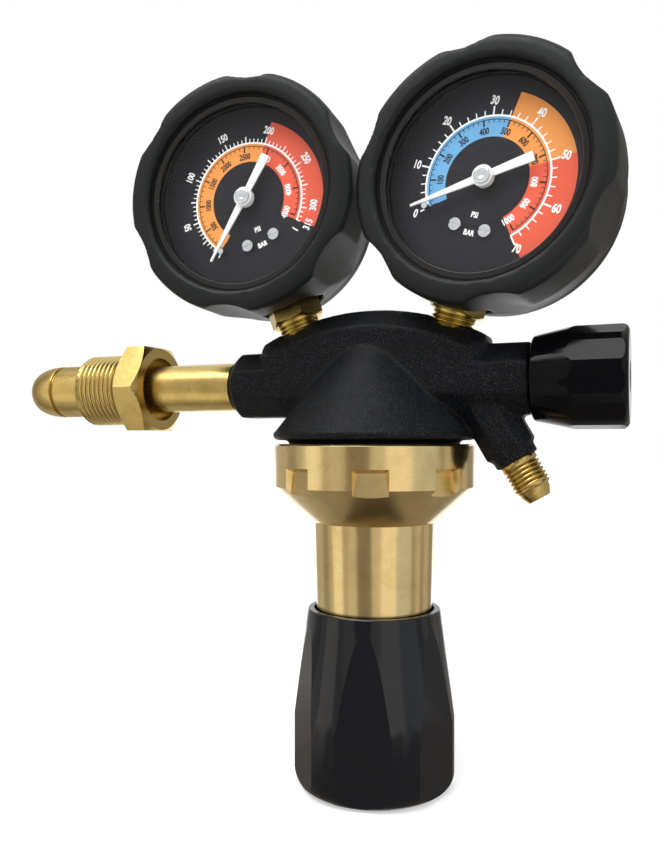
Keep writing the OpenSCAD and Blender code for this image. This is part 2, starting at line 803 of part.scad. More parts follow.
module packing_ring() {
    color("#e6e4da") at_bonnet() along_x(valve_chamber_end_x)
        ring(packing_thread_r - thread_play, spindle_r + running_play, packing_l);
}

module packing_nut() {
    thread_x = valve_chamber_end_x + packing_l;
    color("#c9a24a") at_bonnet() difference() {
        union() {
            along_x(thread_x) cylinder(r = packing_thread_r, h = outlet_arm_l - thread_x + cut);
            along_x(outlet_arm_l) turned_hexagon(packing_nut_af, packing_nut_l);
        }
        along_x(thread_x - cut)
            cylinder(r = spindle_r + running_play, h = outlet_arm_l + packing_nut_l - thread_x + 2 * cut);
    }
}

module valve_knob() {
    end_x = valve_knob_x + valve_knob_l;
    color("#17181b") at_bonnet() difference() {
        along_x(valve_knob_x) rotate([0, 0, valve_phase])
            fluted_knob(valve_knob_l, valve_knob_rim_r, valve_knob_r, valve_taper_l, valve_knob_round,
                valve_flutes, valve_flat_half_angle, valve_flat_start);
        along_x(valve_knob_x - cut) cylinder(r = valve_cavity_r, h = valve_cavity_l + cut);
        along_x(valve_knob_x) cylinder(r = spindle_r + thread_play, h = spindle_end_x - valve_knob_x);
        along_x(spindle_end_x - cut) cylinder(r = knob_screw_r + 0.2, h = valve_knob_l);
        along_x(end_x - knob_screw_seat) cylinder(r = knob_screw_head_r + 0.5, h = knob_screw_seat + cut);
    }
}

module valve_knob_screw() {
    head_x = valve_knob_x + valve_knob_l - knob_screw_seat;
    color("#b9bcc0") at_bonnet() difference() {
        union() {
            along_x(head_x) cylinder(r = knob_screw_head_r, h = 2);
            along_x(spindle_end_x) cylinder(r = knob_screw_r, h = head_x - spindle_end_x + cut);
        }
        translate([head_x + 1, -knob_screw_head_r - cut, -0.5])
            cube([2, 2 * (knob_screw_head_r + cut), 1]);
    }
}

module gauge_socket(side) {
    rise = gauge_rise(side);
    hex_end = hex_lift - rise;
    difference() {
        union() {
            translate([-block_w / 2, block_end, block_back])
                cube([block_w, block_top - block_end, dial_back - block_back]);
            down_stem(block_end + cut) cylinder(r = socket_neck_r, h = block_end - hex_start + 2 * cut);
            down_stem(hex_start) turned_hexagon(gauge_af, hex_start - hex_end);
            down_stem(hex_end + cut)
                cylinder(r = gauge_thread_r, h = rise + hex_end + port_depth - 1 + cut);
        }
        down_stem(block_top - 6) cylinder(r = passage_r - 0.3, h = rise + port_depth + cut);
        tube_sweep(tube_tip_angle, tube_root_angle + 2, 0.1);
        for (x = [-screw_x, screw_x])
            translate([x, screw_y, dial_back - 6]) cylinder(r = dial_screw_r + thread_play, h = 6 + cut);
    }
}

// The flattened tube's section swept around the gauge's centre
module tube_sweep(from, to, grow = 0) {
    half_t = tube_t / 2 + grow;
    rotate([0, 0, from]) rotate_extrude(angle = to - from) translate([tube_r, tube_back + tube_w / 2]) union() {
        square([2 * half_t, tube_w - tube_t], center = true);
        for (y = [-1, 1]) translate([0, y * (tube_w - tube_t) / 2]) circle(r = half_t);
    }
}

module bourdon_tube() {
    lug_x = tail_x - link_w / 2;
    tube_sweep(tube_tip_angle, tube_root_angle);
    rotate([0, 0, tube_tip_angle - 5]) translate([tube_r - tube_t / 2, 0, tube_back])
        cube([tube_t, 3, tube_w]);
    translate([lug_x, lug_y - 1.2, sector_back])
        cube([tube_r - lug_x + 0.5, 2.4, sector_t]);
}

module gauge_case() {
    difference() {
        translate([0, 0, case_back]) cylinder(r = case_r, h = case_depth);
        translate([0, 0, case_back + case_wall]) cylinder(r = case_bore_r, h = case_depth);
        down_stem() cylinder(r = socket_neck_r + moving_gap, h = case_r + cut);
    }
}

module gauge_boot(side) {
    sleeve_r = case_r + boot_skin;
    phase = of_side(side, high_boot_phase, low_boot_phase);
    difference() {
        rotate_extrude() polygon([
            [boot_back_opening_r, boot_back], [boot_hollow_r - 3, boot_back],
            [boot_hollow_r - 0.8, boot_back + 1], [boot_hollow_r, boot_back + 3],
            [boot_hollow_r, boot_taper_start], [boot_r, boot_taper_end],
            [boot_r, boot_front - boot_round], [boot_r - 0.7, boot_front - 0.7],
            [boot_r - boot_round, boot_front],
            [boot_opening_r + 0.6, boot_front], [boot_opening_r, boot_lip],
            [sleeve_r, boot_lip], [sleeve_r, case_back - boot_skin],
            [boot_back_opening_r, case_back - boot_skin]
        ]);
        for (i = [0 : boot_hollows - 1])
            rotate([0, 0, phase + i * 360 / boot_hollows])
                translate([boot_hollow_r + boot_cutter_r, 0, boot_back - cut])
                    cylinder(r = boot_cutter_r, h = boot_front - boot_back + 2 * cut);
        down_stem() cylinder(r = boot_stem_hole_r, h = boot_r + cut);
    }
}

module gauge_dial(side) {
    difference() {
        translate([0, 0, dial_back]) cylinder(r = dial_r, h = dial_t);
        translate([0, 0, dial_back - cut]) cylinder(r = dial_hole_r, h = dial_t + 2 * cut);
        for (x = [-screw_x, screw_x])
            translate([x, screw_y, dial_back - cut])
                cylinder(r = dial_screw_r + thread_play, h = dial_t + 2 * cut);
        stop_pin_at(side) translate([0, 0, dial_back - cut])
            cylinder(r = 0.5 + thread_play, h = dial_t + 2 * cut);
    }
}

module dial_screws() {
    for (x = [-screw_x, screw_x]) translate([x, screw_y, 0]) difference() {
        union() {
            translate([0, 0, dial_back - 5]) cylinder(r = dial_screw_r, h = 5 + dial_t);
            translate([0, 0, dial_face]) cylinder(r = dial_screw_head_r, h = 1.1);
        }
        translate([-dial_screw_head_r - cut, -0.25, dial_face + 0.6])
            cube([2 * (dial_screw_head_r + cut), 0.5, 1]);
    }
}

module stop_pin_at(side) {
    rotate([0, 0, pointer_rest(side) + 5.4]) translate([gauge_scale_r, 0, 0]) children();
}

module stop_pin(side) {
    stop_pin_at(side) {
        translate([0, 0, dial_back]) cylinder(r = 0.5, h = dial_t + cut);
        translate([0, 0, dial_face]) cylinder(r = 0.9, h = pointer_back + pointer_t + 0.4 - dial_face);
    }
}

module gauge_pointer(side) {
    tail = 14.6;
    difference() {
        union() {
            rotate([0, 0, pointer_rest(side)]) translate([0, 0, pointer_back])
                linear_extrude(pointer_t) polygon([
                    [pointer_l, 0.3], [2, 1.15], [-2, 1], [-tail, 1.45],
                    [-tail, -1.45], [-2, -1], [2, -1.15], [pointer_l, -0.3]
                ]);
            translate([0, 0, pointer_back - 0.9]) cylinder(r = pointer_hub_r, h = pointer_t + 1.6);
        }
        translate([0, 0, pointer_back - cut]) cylinder(r = arbor_r + 0.02, h = pointer_t + 1);
    }
}

// Outline of one tooth, symmetric about +X, between two radii from a gear's centre
function tooth(pitch_r, inner, outer) =
    let (
        half = PI * gear_module / 4 - gear_backlash,
        lean = tan(20),
        foot = half + (pitch_r - inner) * lean,
        tip = half - (outer - pitch_r) * lean
    )
    [[inner, -foot], [pitch_r, -half], [outer, -tip], [outer, tip], [pitch_r, half], [inner, foot]];

module gauge_arbor() {
    pitch_r = gear_module * pinion_teeth / 2;
    root_r = pitch_r - 1.25 * gear_module;
    translate([0, 0, back_plate]) cylinder(r = arbor_r, h = pointer_back + pointer_t - back_plate);
    translate([0, 0, pinion_back]) linear_extrude(pinion_t) {
        circle(r = root_r);
        for (i = [0 : pinion_teeth - 1])
            rotate((i + 0.5) * 360 / pinion_teeth)
                polygon(tooth(pitch_r, root_r - 0.1, pitch_r + 0.8 * gear_module));
    }
}

module gauge_sector() {
    pitch_r = gear_module * sector_teeth / 2;
    root_r = pitch_r - 1.1 * gear_module;
    span = sector_tooth_count * sector_pitch_angle;
    translate([gear_distance, 0, sector_back]) linear_extrude(sector_t) difference() {
        union() {
            rotate(sector_mid_angle) intersection() {
                difference() {
                    circle(r = root_r);
                    circle(r = root_r - 2.2);
                }
                polygon([
                    [0, 0], [2 * root_r * cos(span / 2), -2 * root_r * sin(span / 2)],
                    [2 * root_r * cos(span / 2), 2 * root_r * sin(span / 2)]
                ]);
            }
            rotate(sector_mid_angle) for (a = [-span / 2 + 2, 0, span / 2 - 2])
                rotate(a) translate([0, -0.7]) square([root_r - 1, 1.4]);
            for (i = [-1 : sector_tooth_count - 3])
                rotate(sector_mesh_angle - i * sector_pitch_angle)
                    polygon(tooth(pitch_r, root_r - 0.1, pitch_r + 0.65 * gear_module));
            circle(r = 2.4);
            rotate(tail_rest_angle) translate([0, -1]) square([tail_l, 2]);
            rotate(tail_rest_angle) translate([tail_l, 0]) circle(r = 1);
        }
        circle(r = arbor_r + running_play);
        rotate(tail_rest_angle) translate([tail_l, 0]) circle(r = 0.4 + running_play);
    }
}

// The link turns on a pin in the sector's tail, and its other end lies in front of the tube's lug
module gauge_link() {
    translate([tail_x, 0, 0]) {
        translate([0, 0, link_back]) linear_extrude(link_t) {
            translate([-link_w / 2, tail_y]) square([link_w, lug_y - tail_y]);
            for (y = [tail_y, lug_y]) translate([0, y]) circle(r = link_w / 2);
        }
        translate([0, tail_y, sector_back]) cylinder(r = 0.4, h = link_back - sector_back + cut / 2);
    }
}

module movement_plate() {
    linear_extrude(plate_sheet_t) difference() {
        union() {
            circle(r = plate_lobe_r);
            translate([0, -plate_arm_w / 2]) square([gear_distance, plate_arm_w]);
            translate([gear_distance, 0]) circle(r = plate_end_r);
            translate([-block_w / 2 + 1, block_top]) square([block_w - 2, -block_top]);
        }
        circle(r = arbor_r + running_play);
    }
}

module movement_plates() {
    translate([0, 0, back_plate]) movement_plate();
    translate([0, 0, front_plate]) movement_plate();
    for (y = [pillar_low_y, pillar_high_y]) translate([pillar_x, y, back_plate + plate_sheet_t])
        cylinder(r = pillar_r, h = front_plate - back_plate - plate_sheet_t);
    translate([gear_distance, 0, back_plate + plate_sheet_t])
        cylinder(r = arbor_r, h = front_plate - back_plate - plate_sheet_t);
}

module lens_seal() {
    translate([0, 0, lens_back - seal_t]) ring(lens_r, dial_sight_r + 0.3, seal_t);
}

module lens() {
    translate([0, 0, lens_back]) cylinder(r = lens_r, h = lens_t);
}

module front_ring() {
    translate([0, 0, lens_back + lens_t]) ring(lens_r + 0.05, dial_sight_r, case_front - lens_back - lens_t);
}

module high_socket() { color("#d0b04c") at_gauge(HIGH) gauge_socket(HIGH); }
module high_case() { color("#3a3c40") at_gauge(HIGH) gauge_case(); }
module high_boot() { color("#222427") at_gauge(HIGH) gauge_boot(HIGH); }
module high_dial() { color("#333136") at_gauge(HIGH) gauge_dial(HIGH); }
module high_dial_screws() { color("#c9ccd0") at_gauge(HIGH) dial_screws(); }
module high_stop_pin() { color("#c9ccd0") at_gauge(HIGH) stop_pin(HIGH); }
module high_pointer() { color("#f2f2f0") at_gauge(HIGH) gauge_pointer(HIGH); }
module high_arbor() { color("#c9a24a") at_gauge(HIGH) gauge_arbor(); }
module high_sector() { color("#c9a24a") at_gauge(HIGH) gauge_sector(); }
module high_link() { color("#b9bcc0") at_gauge(HIGH) gauge_link(); }
module high_movement_plates() { color("#c9a24a") at_gauge(HIGH) movement_plates(); }
module high_bourdon_tube() { color("#b58a3c") at_gauge(HIGH) bourdon_tube(); }
module high_lens_seal() { color("#1c1c1e") at_gauge(HIGH) lens_seal(); }
module high_lens() { color("#dfe8ee", 0.3) at_gauge(HIGH) lens(); }
module high_front_ring() { color("#2b2c2f") at_gauge(HIGH) front_ring(); }
module low_socket() { color("#d0b04c") at_gauge(LOW) gauge_socket(LOW); }
module low_case() { color("#3a3c40") at_gauge(LOW) gauge_case(); }
module low_boot() { color("#222427") at_gauge(LOW) gauge_boot(LOW); }
module low_dial() { color("#333136") at_gauge(LOW) gauge_dial(LOW); }
module low_dial_screws() { color("#c9ccd0") at_gauge(LOW) dial_screws(); }
module low_stop_pin() { color("#c9ccd0") at_gauge(LOW) stop_pin(LOW); }
module low_pointer() { color("#f2f2f0") at_gauge(LOW) gauge_pointer(LOW); }
module low_arbor() { color("#c9a24a") at_gauge(LOW) gauge_arbor(); }
module low_sector() { color("#c9a24a") at_gauge(LOW) gauge_sector(); }
module low_link() { color("#b9bcc0") at_gauge(LOW) gauge_link(); }
module low_movement_plates() { color("#c9a24a") at_gauge(LOW) movement_plates(); }
module low_bourdon_tube() { color("#b58a3c") at_gauge(LOW) bourdon_tube(); }
module low_lens_seal() { color("#1c1c1e") at_gauge(LOW) lens_seal(); }
module low_lens() { color("#dfe8ee", 0.3) at_gauge(LOW) lens(); }
module low_front_ring() { color("#2b2c2f") at_gauge(LOW) front_ring(); }

body();
inlet_stem();
inlet_nut();
inlet_filter();
outlet_fitting();
seat_nozzle();
poppet();
poppet_spring();
push_pin();
diaphragm();
slip_ring();
diaphragm_plate();
bonnet();
main_spring();
spring_button();
adjusting_screw();
adjusting_knob();
knob_nut();
knob_cap();
valve_disc();
valve_spindle();
packing_ring();
packing_nut();
valve_knob();
valve_knob_screw();
high_socket();
high_case();
high_boot();
high_dial();
high_dial_screws();
high_stop_pin();
high_pointer();
high_arbor();
high_sector();
high_link();
high_movement_plates();
high_bourdon_tube();
high_lens_seal();
high_lens();
high_front_ring();
low_socket();
low_case();
low_boot();
low_dial();
low_dial_screws();
low_stop_pin();
low_pointer();
low_arbor();
low_sector();
low_link();
low_movement_plates();
low_bourdon_tube();
low_lens_seal();
low_lens();
low_front_ring();
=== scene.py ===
"""Looks of the two-gauge regulator: softened castings and rubber, cut threads, printed dials and finishes."""
import json
import math

import bpy
from mathutils import Matrix, Vector


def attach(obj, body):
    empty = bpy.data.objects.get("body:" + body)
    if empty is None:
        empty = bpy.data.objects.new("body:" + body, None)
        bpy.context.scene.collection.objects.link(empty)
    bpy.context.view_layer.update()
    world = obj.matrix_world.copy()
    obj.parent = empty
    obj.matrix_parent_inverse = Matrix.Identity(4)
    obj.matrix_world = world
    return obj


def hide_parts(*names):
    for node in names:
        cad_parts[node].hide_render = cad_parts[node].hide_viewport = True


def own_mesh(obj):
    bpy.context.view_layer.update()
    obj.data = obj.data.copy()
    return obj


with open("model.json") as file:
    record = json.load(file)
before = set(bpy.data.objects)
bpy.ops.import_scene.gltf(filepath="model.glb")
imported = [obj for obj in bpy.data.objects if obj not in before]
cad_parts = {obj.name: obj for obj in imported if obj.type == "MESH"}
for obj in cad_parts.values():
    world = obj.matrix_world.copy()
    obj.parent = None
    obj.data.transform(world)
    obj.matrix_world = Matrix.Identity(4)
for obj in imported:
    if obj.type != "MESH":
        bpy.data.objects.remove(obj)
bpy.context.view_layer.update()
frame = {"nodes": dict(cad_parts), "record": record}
NODES = frame["nodes"]
MM = 0.001
SLOT_OF = {part["node"]: part["material_slot"] for part in frame["record"]["subparts"]}

# Repeated from the part: places in metres, turns in radians, and the pockets' count and first turn in degrees
BONNET_AXIS = Vector((0.0974, 0, 0))
ARCH_R = 0.075
ARCH_RISE = 0.0221
GAUGE_RISE = {"high": 0.043, "low": 0.040}
GAUGE_TURN = {"high": math.radians(3), "low": math.radians(-6.5)}
BOOT_R = 0.0372
BOOT_EDGE = 0.0183
BOOT_GAP = 0.0003
BRANCH_ANGLE = math.radians(30)
FLOOR_Z = -0.1239
DIAL_FACE = 0.010
POCKETS = 8
POCKET_PHASE = 17
POCKET_FLOOR_R = 0.0288
POCKET_HALF_W = 0.0051
POCKET_HALF_H = 0.00425
POCKET_MIDDLE_Z = -0.03025

# In degrees: faces that turn less than the first are one flat face, and edges sharper than the second are real
FLAT_WITHIN = 0.5
SHARP_FROM = 28


def boot_reach(turn):
    return BOOT_R * math.cos(turn) + BOOT_EDGE * abs(math.sin(turn))


BOOTS_APART = sum(boot_reach(turn) for turn in GAUGE_TURN.values()) + BOOT_GAP
GAUGE_LEAN = math.asin(BOOTS_APART / (2 * ARCH_R + sum(GAUGE_RISE.values())))


def gauge_place(side, lean):
    """The gauge's own frame: X right, Y up the stem, Z towards the viewer."""
    return (
        Matrix.Translation((BONNET_AXIS.x, 0, ARCH_RISE - ARCH_R))
        @ Matrix.Rotation(lean, 4, "Y")
        @ Matrix.Translation((0, 0, ARCH_R + GAUGE_RISE[side]))
        @ Matrix.Rotation(math.pi / 2, 4, "X")
        @ Matrix.Rotation(GAUGE_TURN[side], 4, "Y")
    )


GAUGES = {"high": gauge_place("high", -GAUGE_LEAN), "low": gauge_place("low", GAUGE_LEAN)}
BRANCH = Matrix.Translation((BONNET_AXIS.x + 0.0305, 0, 0)) @ Matrix.Rotation(math.pi - BRANCH_ANGLE, 4, "Y")
ALONG_X = Matrix.Rotation(math.pi / 2, 4, "Y")


# Camera, as solved from the photograph's ellipses
bpy.ops.object.camera_add(location=(0.1791, -0.2396, -0.0186), rotation=(math.radians(90), 0, math.radians(21.8)))
camera = bpy.context.object
camera.name = "photo_camera"
camera.data.sensor_width = 36
camera.data.lens = 34.306
camera.data.shift_y = 0.0212
camera.data.clip_start = 0.01
bpy.context.scene.camera = camera
bpy.context.scene.view_settings.view_transform = "Standard"


# Work on one piece

def only(piece):
    bpy.ops.object.select_all(action="DESELECT")
    piece.select_set(True)
    bpy.context.view_layer.objects.active = piece


def new_piece(name):
    """Names the primitive that was just added, alone in the selection."""
    piece = bpy.context.object
    piece.name = name
    piece.data.name = name
    only(piece)
    return piece


def settle(piece, place=None):
    """Moves a piece by a matrix and applies its transform."""
    if place is not None:
        piece.matrix_world = place @ piece.matrix_world
    only(piece)
    bpy.ops.object.transform_apply(location=True, rotation=True, scale=True)
    return piece


def shaped(piece, kind, **settings):
    """Adds one modifier and applies it."""
    only(piece)
    modifier = piece.modifiers.new(kind.lower(), kind)
    for key, value in settings.items():
        setattr(modifier, key, value)
    bpy.ops.object.modifier_apply(modifier=modifier.name)
    return piece


def in_edit(piece, *steps):
    only(piece)
    bpy.ops.object.mode_set(mode="EDIT")
    bpy.ops.mesh.select_all(action="SELECT")
    for step in steps:
        step()
    bpy.ops.object.mode_set(mode="OBJECT")


def pick(piece, kind, test):
    """Selects the vertices or faces of a mesh that pass a test, and nothing else."""
    only(piece)
    bpy.ops.object.mode_set(mode="EDIT")
    bpy.ops.mesh.select_mode(type=kind)
    bpy.ops.mesh.select_all(action="DESELECT")
    bpy.ops.object.mode_set(mode="OBJECT")
    items = piece.data.vertices if kind == "VERT" else piece.data.polygons
    for item in items:
        item.select = test(item)
    bpy.ops.object.mode_set(mode="EDIT")


def join_flats(piece):
    """Takes out the edges inside flat faces."""
    in_edit(piece, lambda: bpy.ops.mesh.dissolve_limited(angle_limit=math.radians(FLAT_WITHIN)))


def copy_of(node, name):
    """A merged copy of a CAD node, ready to be shaped."""
    piece = bpy.data.objects.new(name, NODES[node].data.copy())
    bpy.context.scene.collection.objects.link(piece)
    piece.data.name = name
    piece.data.materials.clear()
    in_edit(piece, lambda: bpy.ops.mesh.remove_doubles(threshold=2e-6))
    bpy.ops.mesh.customdata_custom_splitnormals_clear()
    return piece


def softened(node, name, voxel, passes):
    """A copy whose edges are rounded all over, as on a casting or a moulding."""
    piece = copy_of(node, name)
    shaped(piece, "REMESH", mode="VOXEL", voxel_size=voxel)
    shaped(piece, "SMOOTH", factor=0.5, iterations=passes)
    bpy.ops.object.shade_smooth()
    return piece


def eased(piece, width, angle=SHARP_FROM):
    """Breaks the sharp edges of a machined piece."""
    join_flats(piece)
    shaped(
        piece, "BEVEL", width=width, segments=2, limit_method="ANGLE",
        angle_limit=math.radians(angle), use_clamp_overlap=True,
    )
    bpy.ops.object.shade_smooth_by_angle(angle=math.radians(angle))
    return shaped(piece, "WEIGHTED_NORMAL", weight=80, keep_sharp=True)


def fluted(node, name, place, flats, phase, tilt, width):
    """A copy of a knob whose flats keep a fine crisp edge of the given width. The flats start at the phase,
    and the tilt is that of their upper half, both in degrees."""
    piece = copy_of(node, name)
    join_flats(piece)
    facing = []
    for lean in (0, math.radians(tilt)):
        for i in range(flats):
            turn = math.radians(phase + i * 360 / flats)
            out = Vector((math.cos(turn) * math.cos(lean), math.sin(turn) * math.cos(lean), -math.sin(lean)))
            facing.append(place.to_3x3() @ out)
    close = math.cos(math.radians(0.8))  # a face that turns less than this from a flat belongs to it
    pick(piece, "FACE", lambda face: any(face.normal.dot(out) > close for out in facing))
    bpy.ops.mesh.region_to_loop()
    bpy.ops.mesh.bevel(offset=width, segments=2, affect="EDGES", clamp_overlap=True)
    bpy.ops.object.mode_set(mode="OBJECT")
    return eased(piece, width=0.45 * MM, angle=40)


def cut_thread(piece, place, radius, pitch, start, turns):
    """Cuts a 60 degree V groove round a cylinder, along Z of the given place, with a three-sided cutter
    that stands a little out of the cylinder."""
    depth = 0.62 * pitch
    proud = 0.3 * MM
    section = (depth + proud) / 1.5
    bpy.ops.mesh.primitive_circle_add(vertices=3, radius=section, fill_type="NOTHING")
    cutter = new_piece("thread_cutter")
    settle(
        cutter,
        Matrix.Translation((radius - depth + section, 0, start))
        @ Matrix.Rotation(-math.pi / 2, 4, "Y") @ Matrix.Rotation(math.pi / 2, 4, "X"),
    )
    shaped(
        cutter, "SCREW", axis="Z", angle=2 * math.pi, screw_offset=pitch, iterations=turns, steps=48, render_steps=48
    )
    in_edit(
        cutter,
        lambda: bpy.ops.mesh.fill_holes(sides=4),
        lambda: bpy.ops.mesh.normals_make_consistent(inside=False),
    )
    settle(cutter, place)
    shaped(piece, "BOOLEAN", operation="DIFFERENCE", object=cutter, solver="EXACT")
    bpy.data.objects.remove(cutter)
    only(piece)
    bpy.ops.object.shade_smooth_by_angle(angle=math.radians(SHARP_FROM))
    return piece


def joined(pieces, name):
    """Joins pieces into one, under a new name."""
    only(pieces[0])
    for piece in pieces:
        piece.select_set(True)
    if len(pieces) > 1:
        bpy.ops.object.join()
    return new_piece(name)


def dress(piece, finish, body, slot, *replaced):
    """Gives a piece its finish and its body, and hides the CAD nodes that it stands for."""
    piece.data.materials.clear()
    piece.data.materials.append(finish)
    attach(piece, body)
    if replaced:
        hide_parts(*replaced)
    return piece


# Shader groups

def new_group(name, inputs, outputs):
    group = bpy.data.node_groups.new(name, "ShaderNodeTree")
    for label, value in inputs:
        socket = group.interface.new_socket(label, in_out="INPUT", socket_type="NodeSocketFloat")
        socket.default_value = value
    for label in outputs:
        group.interface.new_socket(label, in_out="OUTPUT", socket_type="NodeSocketFloat")
    return group, group.nodes.new("NodeGroupInput"), group.nodes.new("NodeGroupOutput")


def noise_in(tree, source, scale, detail=3.0, roughness=0.55):
    noise = tree.nodes.new("ShaderNodeTexNoise")
    noise.inputs["Detail"].default_value = detail
    noise.inputs["Roughness"].default_value = roughness
    tree.links.new(source, noise.inputs["Vector"])
    if isinstance(scale, (int, float)):
        noise.inputs["Scale"].default_value = scale
    else:
        tree.links.new(scale, noise.inputs["Scale"])
    return noise.outputs["Fac"]


def ranged(tree, source, low, high, to_low, to_high):
    node = tree.nodes.new("ShaderNodeMapRange")
    tree.links.new(source, node.inputs["Value"])
    for label, value in (("From Min", low), ("From Max", high), ("To Min", to_low), ("To Max", to_high)):
        node.inputs[label].default_value = value
    return node.outputs["Result"]


def maths(tree, operation, first, second):
    node = tree.nodes.new("ShaderNodeMath")
    node.operation = operation
    for socket, value in zip(node.inputs, (first, second)):
        if isinstance(value, (int, float)):
            socket.default_value = value
        else:
            tree.links.new(value, socket)
    return node.outputs["Value"]


def build_grain():
    """Coat or moulding grain: a height, and a mask of bright flecks that are denser in some places."""
    tree, into, out = new_group("surface_grain", [("Cells", 1500.0), ("Fleck Size", 0.22)], ["Height", "Fleck"])
    coords = tree.nodes.new("ShaderNodeTexCoord").outputs["Object"]
    height = noise_in(tree, coords, into.outputs["Cells"], 2.0)
    cells = tree.nodes.new("ShaderNodeTexVoronoi")
    tree.links.new(coords, cells.inputs["Vector"])
    tree.links.new(into.outputs["Cells"], cells.inputs["Scale"])
    near = maths(tree, "LESS_THAN", cells.outputs["Distance"], into.outputs["Fleck Size"])
    patch = ranged(tree, noise_in(tree, coords, 260.0, 3.0), 0.38, 0.62, 0.5, 1.0)
    tree.links.new(maths(tree, "ADD", height, maths(tree, "MULTIPLY", near, 0.35)), out.inputs["Height"])
    tree.links.new(maths(tree, "MULTIPLY", near, patch), out.inputs["Fleck"])
    return tree


def build_marks():
    """Lathe marks along an axis: a fine height and a slow change of tone."""
    tree, into, out = new_group("lathe_marks", [("Along", 0.0), ("Pitch", 5200.0)], ["Height", "Tone"])
    line = tree.nodes.new("ShaderNodeTexNoise")
    line.noise_dimensions = "1D"
    line.inputs["Detail"].default_value = 4.0
    tree.links.new(into.outputs["Along"], line.inputs["W"])
    tree.links.new(into.outputs["Pitch"], line.inputs["Scale"])
    coords = tree.nodes.new("ShaderNodeTexCoord").outputs["Object"]
    slow = noise_in(tree, coords, 130.0, 4.0)
    tree.links.new(line.outputs["Fac"], out.inputs["Height"])
    tree.links.new(slow, out.inputs["Tone"])
    return tree


def build_handling():
    """Smudges left by hands: a mask with soft borders and fine scratches in it."""
    tree, into, out = new_group("handling", [("Cover", 0.5)], ["Smudge", "Scratch"])
    coords = tree.nodes.new("ShaderNodeTexCoord").outputs["Object"]
    soft = noise_in(tree, coords, 55.0, 5.0, 0.6)
    edge = maths(tree, "SUBTRACT", 0.75, maths(tree, "MULTIPLY", into.outputs["Cover"], 0.4))
    smudge = maths(tree, "MULTIPLY", maths(tree, "SUBTRACT", soft, edge), 5.0)
    smudge = ranged(tree, smudge, 0.0, 1.0, 0.0, 1.0)
    stretch = tree.nodes.new("ShaderNodeMapping")
    stretch.inputs["Rotation"].default_value = (0.4, 0.9, 0.2)
    stretch.inputs["Scale"].default_value = (2600, 90, 2600)
    tree.links.new(coords, stretch.inputs["Vector"])
    fine = noise_in(tree, stretch.outputs["Vector"], 1.0, 2.0)
    tree.links.new(smudge, out.inputs["Smudge"])
    tree.links.new(ranged(tree, fine, 0.68, 0.74, 0.0, 1.0), out.inputs["Scratch"])
    return tree


def build_dust():
    """Dust settled on faces that look up, broken up by noise."""
    tree, into, out = new_group("settled_dust", [("Amount", 0.3)], ["Dust"])
    normal = tree.nodes.new("ShaderNodeNewGeometry").outputs["Normal"]
    split = tree.nodes.new("ShaderNodeSeparateXYZ")
    tree.links.new(normal, split.inputs["Vector"])
    up = ranged(tree, split.outputs["Z"], 0.1, 0.9, 0.0, 1.0)
    coords = tree.nodes.new("ShaderNodeTexCoord").outputs["Object"]
    patch = ranged(tree, noise_in(tree, coords, 420.0, 5.0, 0.7), 0.4, 0.75, 0.15, 1.0)
    amount = maths(tree, "MULTIPLY", maths(tree, "MULTIPLY", up, patch), into.outputs["Amount"])
    tree.links.new(amount, out.inputs["Dust"])
    return tree


GRAIN = build_grain()
MARKS = build_marks()
HANDLING = build_handling()
DUST = build_dust()


class Finish:
    """One material being put together, with its shader and a few shorthand links."""

    def __init__(self, name, colour, metallic, roughness, **shader):
        self.material = bpy.data.materials.new(name)
        self.material.use_nodes = True
        self.tree = self.material.node_tree
        self.shader = self.tree.nodes["Principled BSDF"]
        self.shader.inputs["Base Color"].default_value = (*colour, 1)
        self.shader.inputs["Metallic"].default_value = metallic
        self.shader.inputs["Roughness"].default_value = roughness
        for label, value in shader.items():
            self.shader.inputs[label.replace("_", " ")].default_value = value
        self.colour = None
        self.rough = None

    def group(self, group, **values):
        node = self.tree.nodes.new("ShaderNodeGroup")
        node.node_tree = group
        for label, value in values.items():
            socket = node.inputs[label.replace("_", " ")]
            if isinstance(value, (int, float)):
                socket.default_value = value
            else:
                self.tree.links.new(value, socket)
        return node.outputs

    def coords(self):
        return self.tree.nodes.new("ShaderNodeTexCoord").outputs["Object"]

    def noise(self, scale, detail=4.0):
        return noise_in(self.tree, self.coords(), scale, detail)

    def range(self, source, low, high, to_low, to_high):
        return ranged(self.tree, source, low, high, to_low, to_high)

    def blend(self, mask, colour):
        """Lays a colour over the finish where the mask is 1."""
        mix = self.tree.nodes.new("ShaderNodeMix")
        mix.data_type = "RGBA"
        self.tree.links.new(mask, mix.inputs["Factor"])
        if self.colour is None:
            mix.inputs["A"].default_value = self.shader.inputs["Base Color"].default_value[:]
        else:
            self.tree.links.new(self.colour, mix.inputs["A"])
        mix.inputs["B"].default_value = (*colour, 1)
        self.colour = mix.outputs["Result"]
        self.tree.links.new(self.colour, self.shader.inputs["Base Color"])

    def roughen(self, mask, amount):
        """Adds to the roughness where the mask is 1."""
        start = self.shader.inputs["Roughness"].default_value if self.rough is None else self.rough
        self.rough = maths(self.tree, "ADD", start, maths(self.tree, "MULTIPLY", mask, amount))
        self.tree.links.new(self.rough, self.shader.inputs["Roughness"])

    def bump(self, height, strength, distance):
        node = self.tree.nodes.new("ShaderNodeBump")
        node.inputs["Strength"].default_value = strength
        node.inputs["Distance"].default_value = distance
        self.tree.links.new(height, node.inputs["Height"])
        previous = self.shader.inputs["Normal"].links
        if previous:
            self.tree.links.new(previous[0].from_socket, node.inputs["Normal"])
        self.tree.links.new(node.outputs["Normal"], self.shader.inputs["Normal"])


